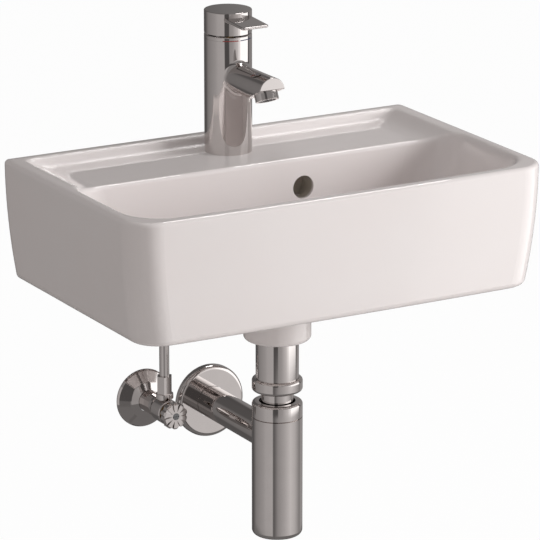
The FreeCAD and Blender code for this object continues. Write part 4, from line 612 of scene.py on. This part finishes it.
class SetStage(bpy.types.Operator):
    """Set up the floor, the lamps, the tent, strip and card that the part mirrors, and the camera"""
    bl_idname = "washbasin.set_stage"
    bl_label = "Set the stage"

    def execute(self, context):
        scene = context.scene
        self.floor()
        self.world(scene)
        self.lamps(scene)
        for panel in (self.tent(), self.strip(), self.card()):
            # Only mirrors see these
            panel.visible_camera = False
            panel.visible_diffuse = False
            panel.visible_shadow = False
        self.camera(scene)
        scene.view_settings.view_transform = "Standard"
        return {"FINISHED"}

    def plane(self, name, centre, across, up, material):
        """A flat stage panel that reaches across and up, both ways, from its centre."""
        centre, across, up = Vector(centre), Vector(across), Vector(up)
        corners = [centre + across * u + up * v for u, v in ((-1, -1), (1, -1), (1, 1), (-1, 1))]
        mesh = bmesh.new()
        mesh.faces.new([mesh.verts.new(corner) for corner in corners])
        panel = new_object(name, mesh, material)
        return panel

    def seen_directly(self, tree):
        """1 for rays that show the background itself: from the camera, off a mirror or through glass."""
        rays = add(tree, "ShaderNodeLightPath").outputs
        either = add(tree, "ShaderNodeMath", {0: rays["Is Camera Ray"], 1: rays["Is Glossy Ray"]},
                     operation="MAXIMUM")
        return add(tree, "ShaderNodeMath", {0: either.outputs[0], 1: rays["Is Transmission Ray"]},
                   operation="MAXIMUM").outputs[0]

    def floor(self):
        """A pale floor as far below as a basin hangs, nearly white to the eye but still taking the shadow."""
        material, tree = new_material("pale_floor")
        paint = add(tree, "ShaderNodeBsdfDiffuse", {"Color": four(linear(FLOOR_PAINT))})
        glow = add(tree, "ShaderNodeEmission", {"Color": (1, 1, 1, 1)})
        share = add(tree, "ShaderNodeMath", {0: self.seen_directly(tree), 1: FLOOR_WHITE},
                    operation="MULTIPLY")
        mix = add(tree, "ShaderNodeMixShader", {0: share.outputs[0], 1: paint.outputs[0], 2: glow.outputs[0]})
        close(tree, mix.outputs[0])
        self.plane("floor", (0, 0, FLOOR_Z), (FLOOR_HALF, 0, 0), (0, FLOOR_HALF, 0), material)

    def world(self, scene):
        """White where it is seen, and a warm fill where it only lights."""
        world = bpy.data.worlds.new("studio")
        world.use_nodes = True
        tree = world.node_tree
        tree.nodes.clear()
        white = add(tree, "ShaderNodeBackground", {"Color": (1, 1, 1, 1), "Strength": 1.0})
        fill = add(tree, "ShaderNodeBackground", {"Color": four(linear(FILL_TINT)), "Strength": FILL_LIGHT})
        mix = add(tree, "ShaderNodeMixShader", {
            0: self.seen_directly(tree), 1: fill.outputs[0], 2: white.outputs[0]})
        add(tree, "ShaderNodeOutputWorld", {"Surface": mix.outputs[0]})
        scene.world = world

    def lamps(self, scene):
        """One broad softbox from the front right, and a weak one from above for the bowl's right wall."""
        for name, (place, size, power) in LAMPS.items():
            light = bpy.data.lights.new(name, "AREA")
            light.shape = "SQUARE"
            light.size = size
            light.energy = power
            lamp = bpy.data.objects.new(name, light)
            lamp.location = place
            lamp.rotation_euler = (Vector(MIDDLE) - Vector(place)).to_track_quat("-Z", "Y").to_euler()
            scene.collection.objects.link(lamp)

    def wall_tones(self, tree, compass, tones):
        """The tent wall's colour by compass angle, a little cooler where it is bright."""
        ramp = add(tree, "ShaderNodeValToRGB", {"Fac": compass})
        stops = ramp.color_ramp.elements
        while len(stops) < len(tones):
            stops.new(0.5)
        for stop, (angle, tone) in zip(stops, tones):
            stop.position = (angle + 180) / 360
            stop.color = (tone, tone * (0.95 + 0.04 * tone), tone * (0.94 + 0.045 * tone), 1)
        return ramp.outputs["Color"]

    def tent_cloth(self):
        """Cloth round the tent with a lit panel at the right and dark gaps beside it."""
        material, tree = new_material("studio_cloth")
        place = add(tree, "ShaderNodeTexCoord").outputs["Object"]
        height = add(tree, "ShaderNodeSeparateXYZ", {"Vector": place}).outputs["Z"]
        compass = add(tree, "ShaderNodeTexGradient", {"Vector": place}, gradient_type="RADIAL").outputs["Fac"]
        lower = add(tree, "ShaderNodeMapRange", {
            "Value": height, "From Min": TENT_FADE[0], "From Max": TENT_FADE[1]})
        shade = add(tree, "ShaderNodeMix", {
            "Factor": lower.outputs["Result"], "A": self.wall_tones(tree, compass, UPPER_TONES),
            "B": self.wall_tones(tree, compass, LOWER_TONES)}, data_type="RGBA").outputs["Result"]
        for start, end, tone in DIM_CLOTH:
            share = add(tree, "ShaderNodeMapRange", {"Value": height, "From Min": start, "From Max": end})
            shade = add(tree, "ShaderNodeMix", {
                "Factor": share.outputs["Result"], "A": shade, "B": four(WARM_GREY, tone)},
                data_type="RGBA", blend_type="DARKEN").outputs["Result"]
        close(tree, add(tree, "ShaderNodeEmission", {"Color": shade, "Strength": TENT_LIGHT}).outputs[0])
        return material

    def tent(self):
        """A round studio tent with a floor and a roof."""
        mesh = bmesh.new()
        rows = []
        for step in range(TENT_SIDES):
            turn = math.tau * step / TENT_SIDES
            x, y = TENT_RADIUS * math.cos(turn), TENT_RADIUS * math.sin(turn)
            rows.append([mesh.verts.new((x, y, z)) for z in (TENT_FOOT, TENT_TOP)])
        for a, b in zip(rows, rows[1:] + rows[:1]):
            mesh.faces.new((a[0], b[0], b[1], a[1]))
        for end in (0, 1):
            mesh.faces.new([row[end] for row in rows])
        cloth = new_object("surround", mesh, self.tent_cloth())
        cloth.location = MIDDLE
        return cloth

    def strip(self):
        """A strip lamp above the right side that draws thin highlights along the casting's front edges."""
        material, tree = new_material("strip_lamp")
        glow = add(tree, "ShaderNodeEmission", {"Color": four(STRIP_TINT), "Strength": STRIP_LIGHT})
        close(tree, glow.outputs[0])
        return self.plane("strip", *STRIP, material)

    def card(self):
        """A grey card behind that the level deck mirrors, lighter to the right."""
        material, tree = new_material("grey_card")
        place = add(tree, "ShaderNodeTexCoord").outputs["Object"]
        along = add(tree, "ShaderNodeSeparateXYZ", {"Vector": place}).outputs["X"]
        fade = add(tree, "ShaderNodeMapRange", {
            "Value": along, "From Min": CARD_FADE[0], "From Max": CARD_FADE[1],
            "To Min": CARD_TONES[0], "To Max": CARD_TONES[1]}, interpolation_type="SMOOTHSTEP")
        glow = add(tree, "ShaderNodeEmission", {"Color": four(CARD_TINT), "Strength": fade.outputs["Result"]})
        close(tree, glow.outputs[0])
        return self.plane("card", *CARD, material)

    def camera(self, scene):
        """The photograph's station point, direction and focal length."""
        data = bpy.data.cameras.new("camera")
        data.sensor_width = CAMERA_SENSOR
        data.lens = CAMERA_LENS
        data.clip_end = CAMERA_FAR
        camera = bpy.data.objects.new("camera", data)
        camera.location = CAMERA_PLACE
        ahead = Vector((math.sin(CAMERA_YAW) * math.cos(CAMERA_PITCH),
                        math.cos(CAMERA_YAW) * math.cos(CAMERA_PITCH), math.sin(CAMERA_PITCH)))
        camera.rotation_euler = ahead.to_track_quat("-Z", "Y").to_euler()
        scene.collection.objects.link(camera)
        scene.camera = camera


OPERATORS = (GlazeCasting, PlateFittings, FinishInnerPieces, MarkTemperatures, CutThreads, TurnTrapCap,
             SetStage)


class WashbasinPanel(bpy.types.Panel):
    """Lists the steps that dress the washbasin"""
    bl_idname = "VIEW3D_PT_washbasin"
    bl_label = "Washbasin"
    bl_space_type = "VIEW_3D"
    bl_region_type = "UI"
    bl_category = "Washbasin"

    def draw(self, context):
        for group in (context.scene.washbasin_colours, context.scene.washbasin_sizes):
            box = self.layout.box()
            for name in type(group).__annotations__:
                box.prop(group, name)
        for operator in OPERATORS:
            self.layout.operator(operator.bl_idname)


CLASSES = (WashbasinColours, WashbasinSizes, *OPERATORS, WashbasinPanel)


def register():
    for cls in CLASSES:
        bpy.utils.register_class(cls)
    bpy.types.Scene.washbasin_colours = bpy.props.PointerProperty(type=WashbasinColours)
    bpy.types.Scene.washbasin_sizes = bpy.props.PointerProperty(type=WashbasinSizes)


def unregister():
    del bpy.types.Scene.washbasin_sizes
    del bpy.types.Scene.washbasin_colours
    for cls in reversed(CLASSES):
        bpy.utils.unregister_class(cls)


def main():
    register()
    bpy.ops.washbasin.glaze_casting()
    bpy.ops.washbasin.plate_fittings()
    bpy.ops.washbasin.finish_inner_pieces()
    bpy.ops.washbasin.mark_temperatures()
    bpy.ops.washbasin.cut_threads()
    bpy.ops.washbasin.turn_trap_cap()
    bpy.ops.washbasin.set_stage()


if __name__ == "__main__":
    main()
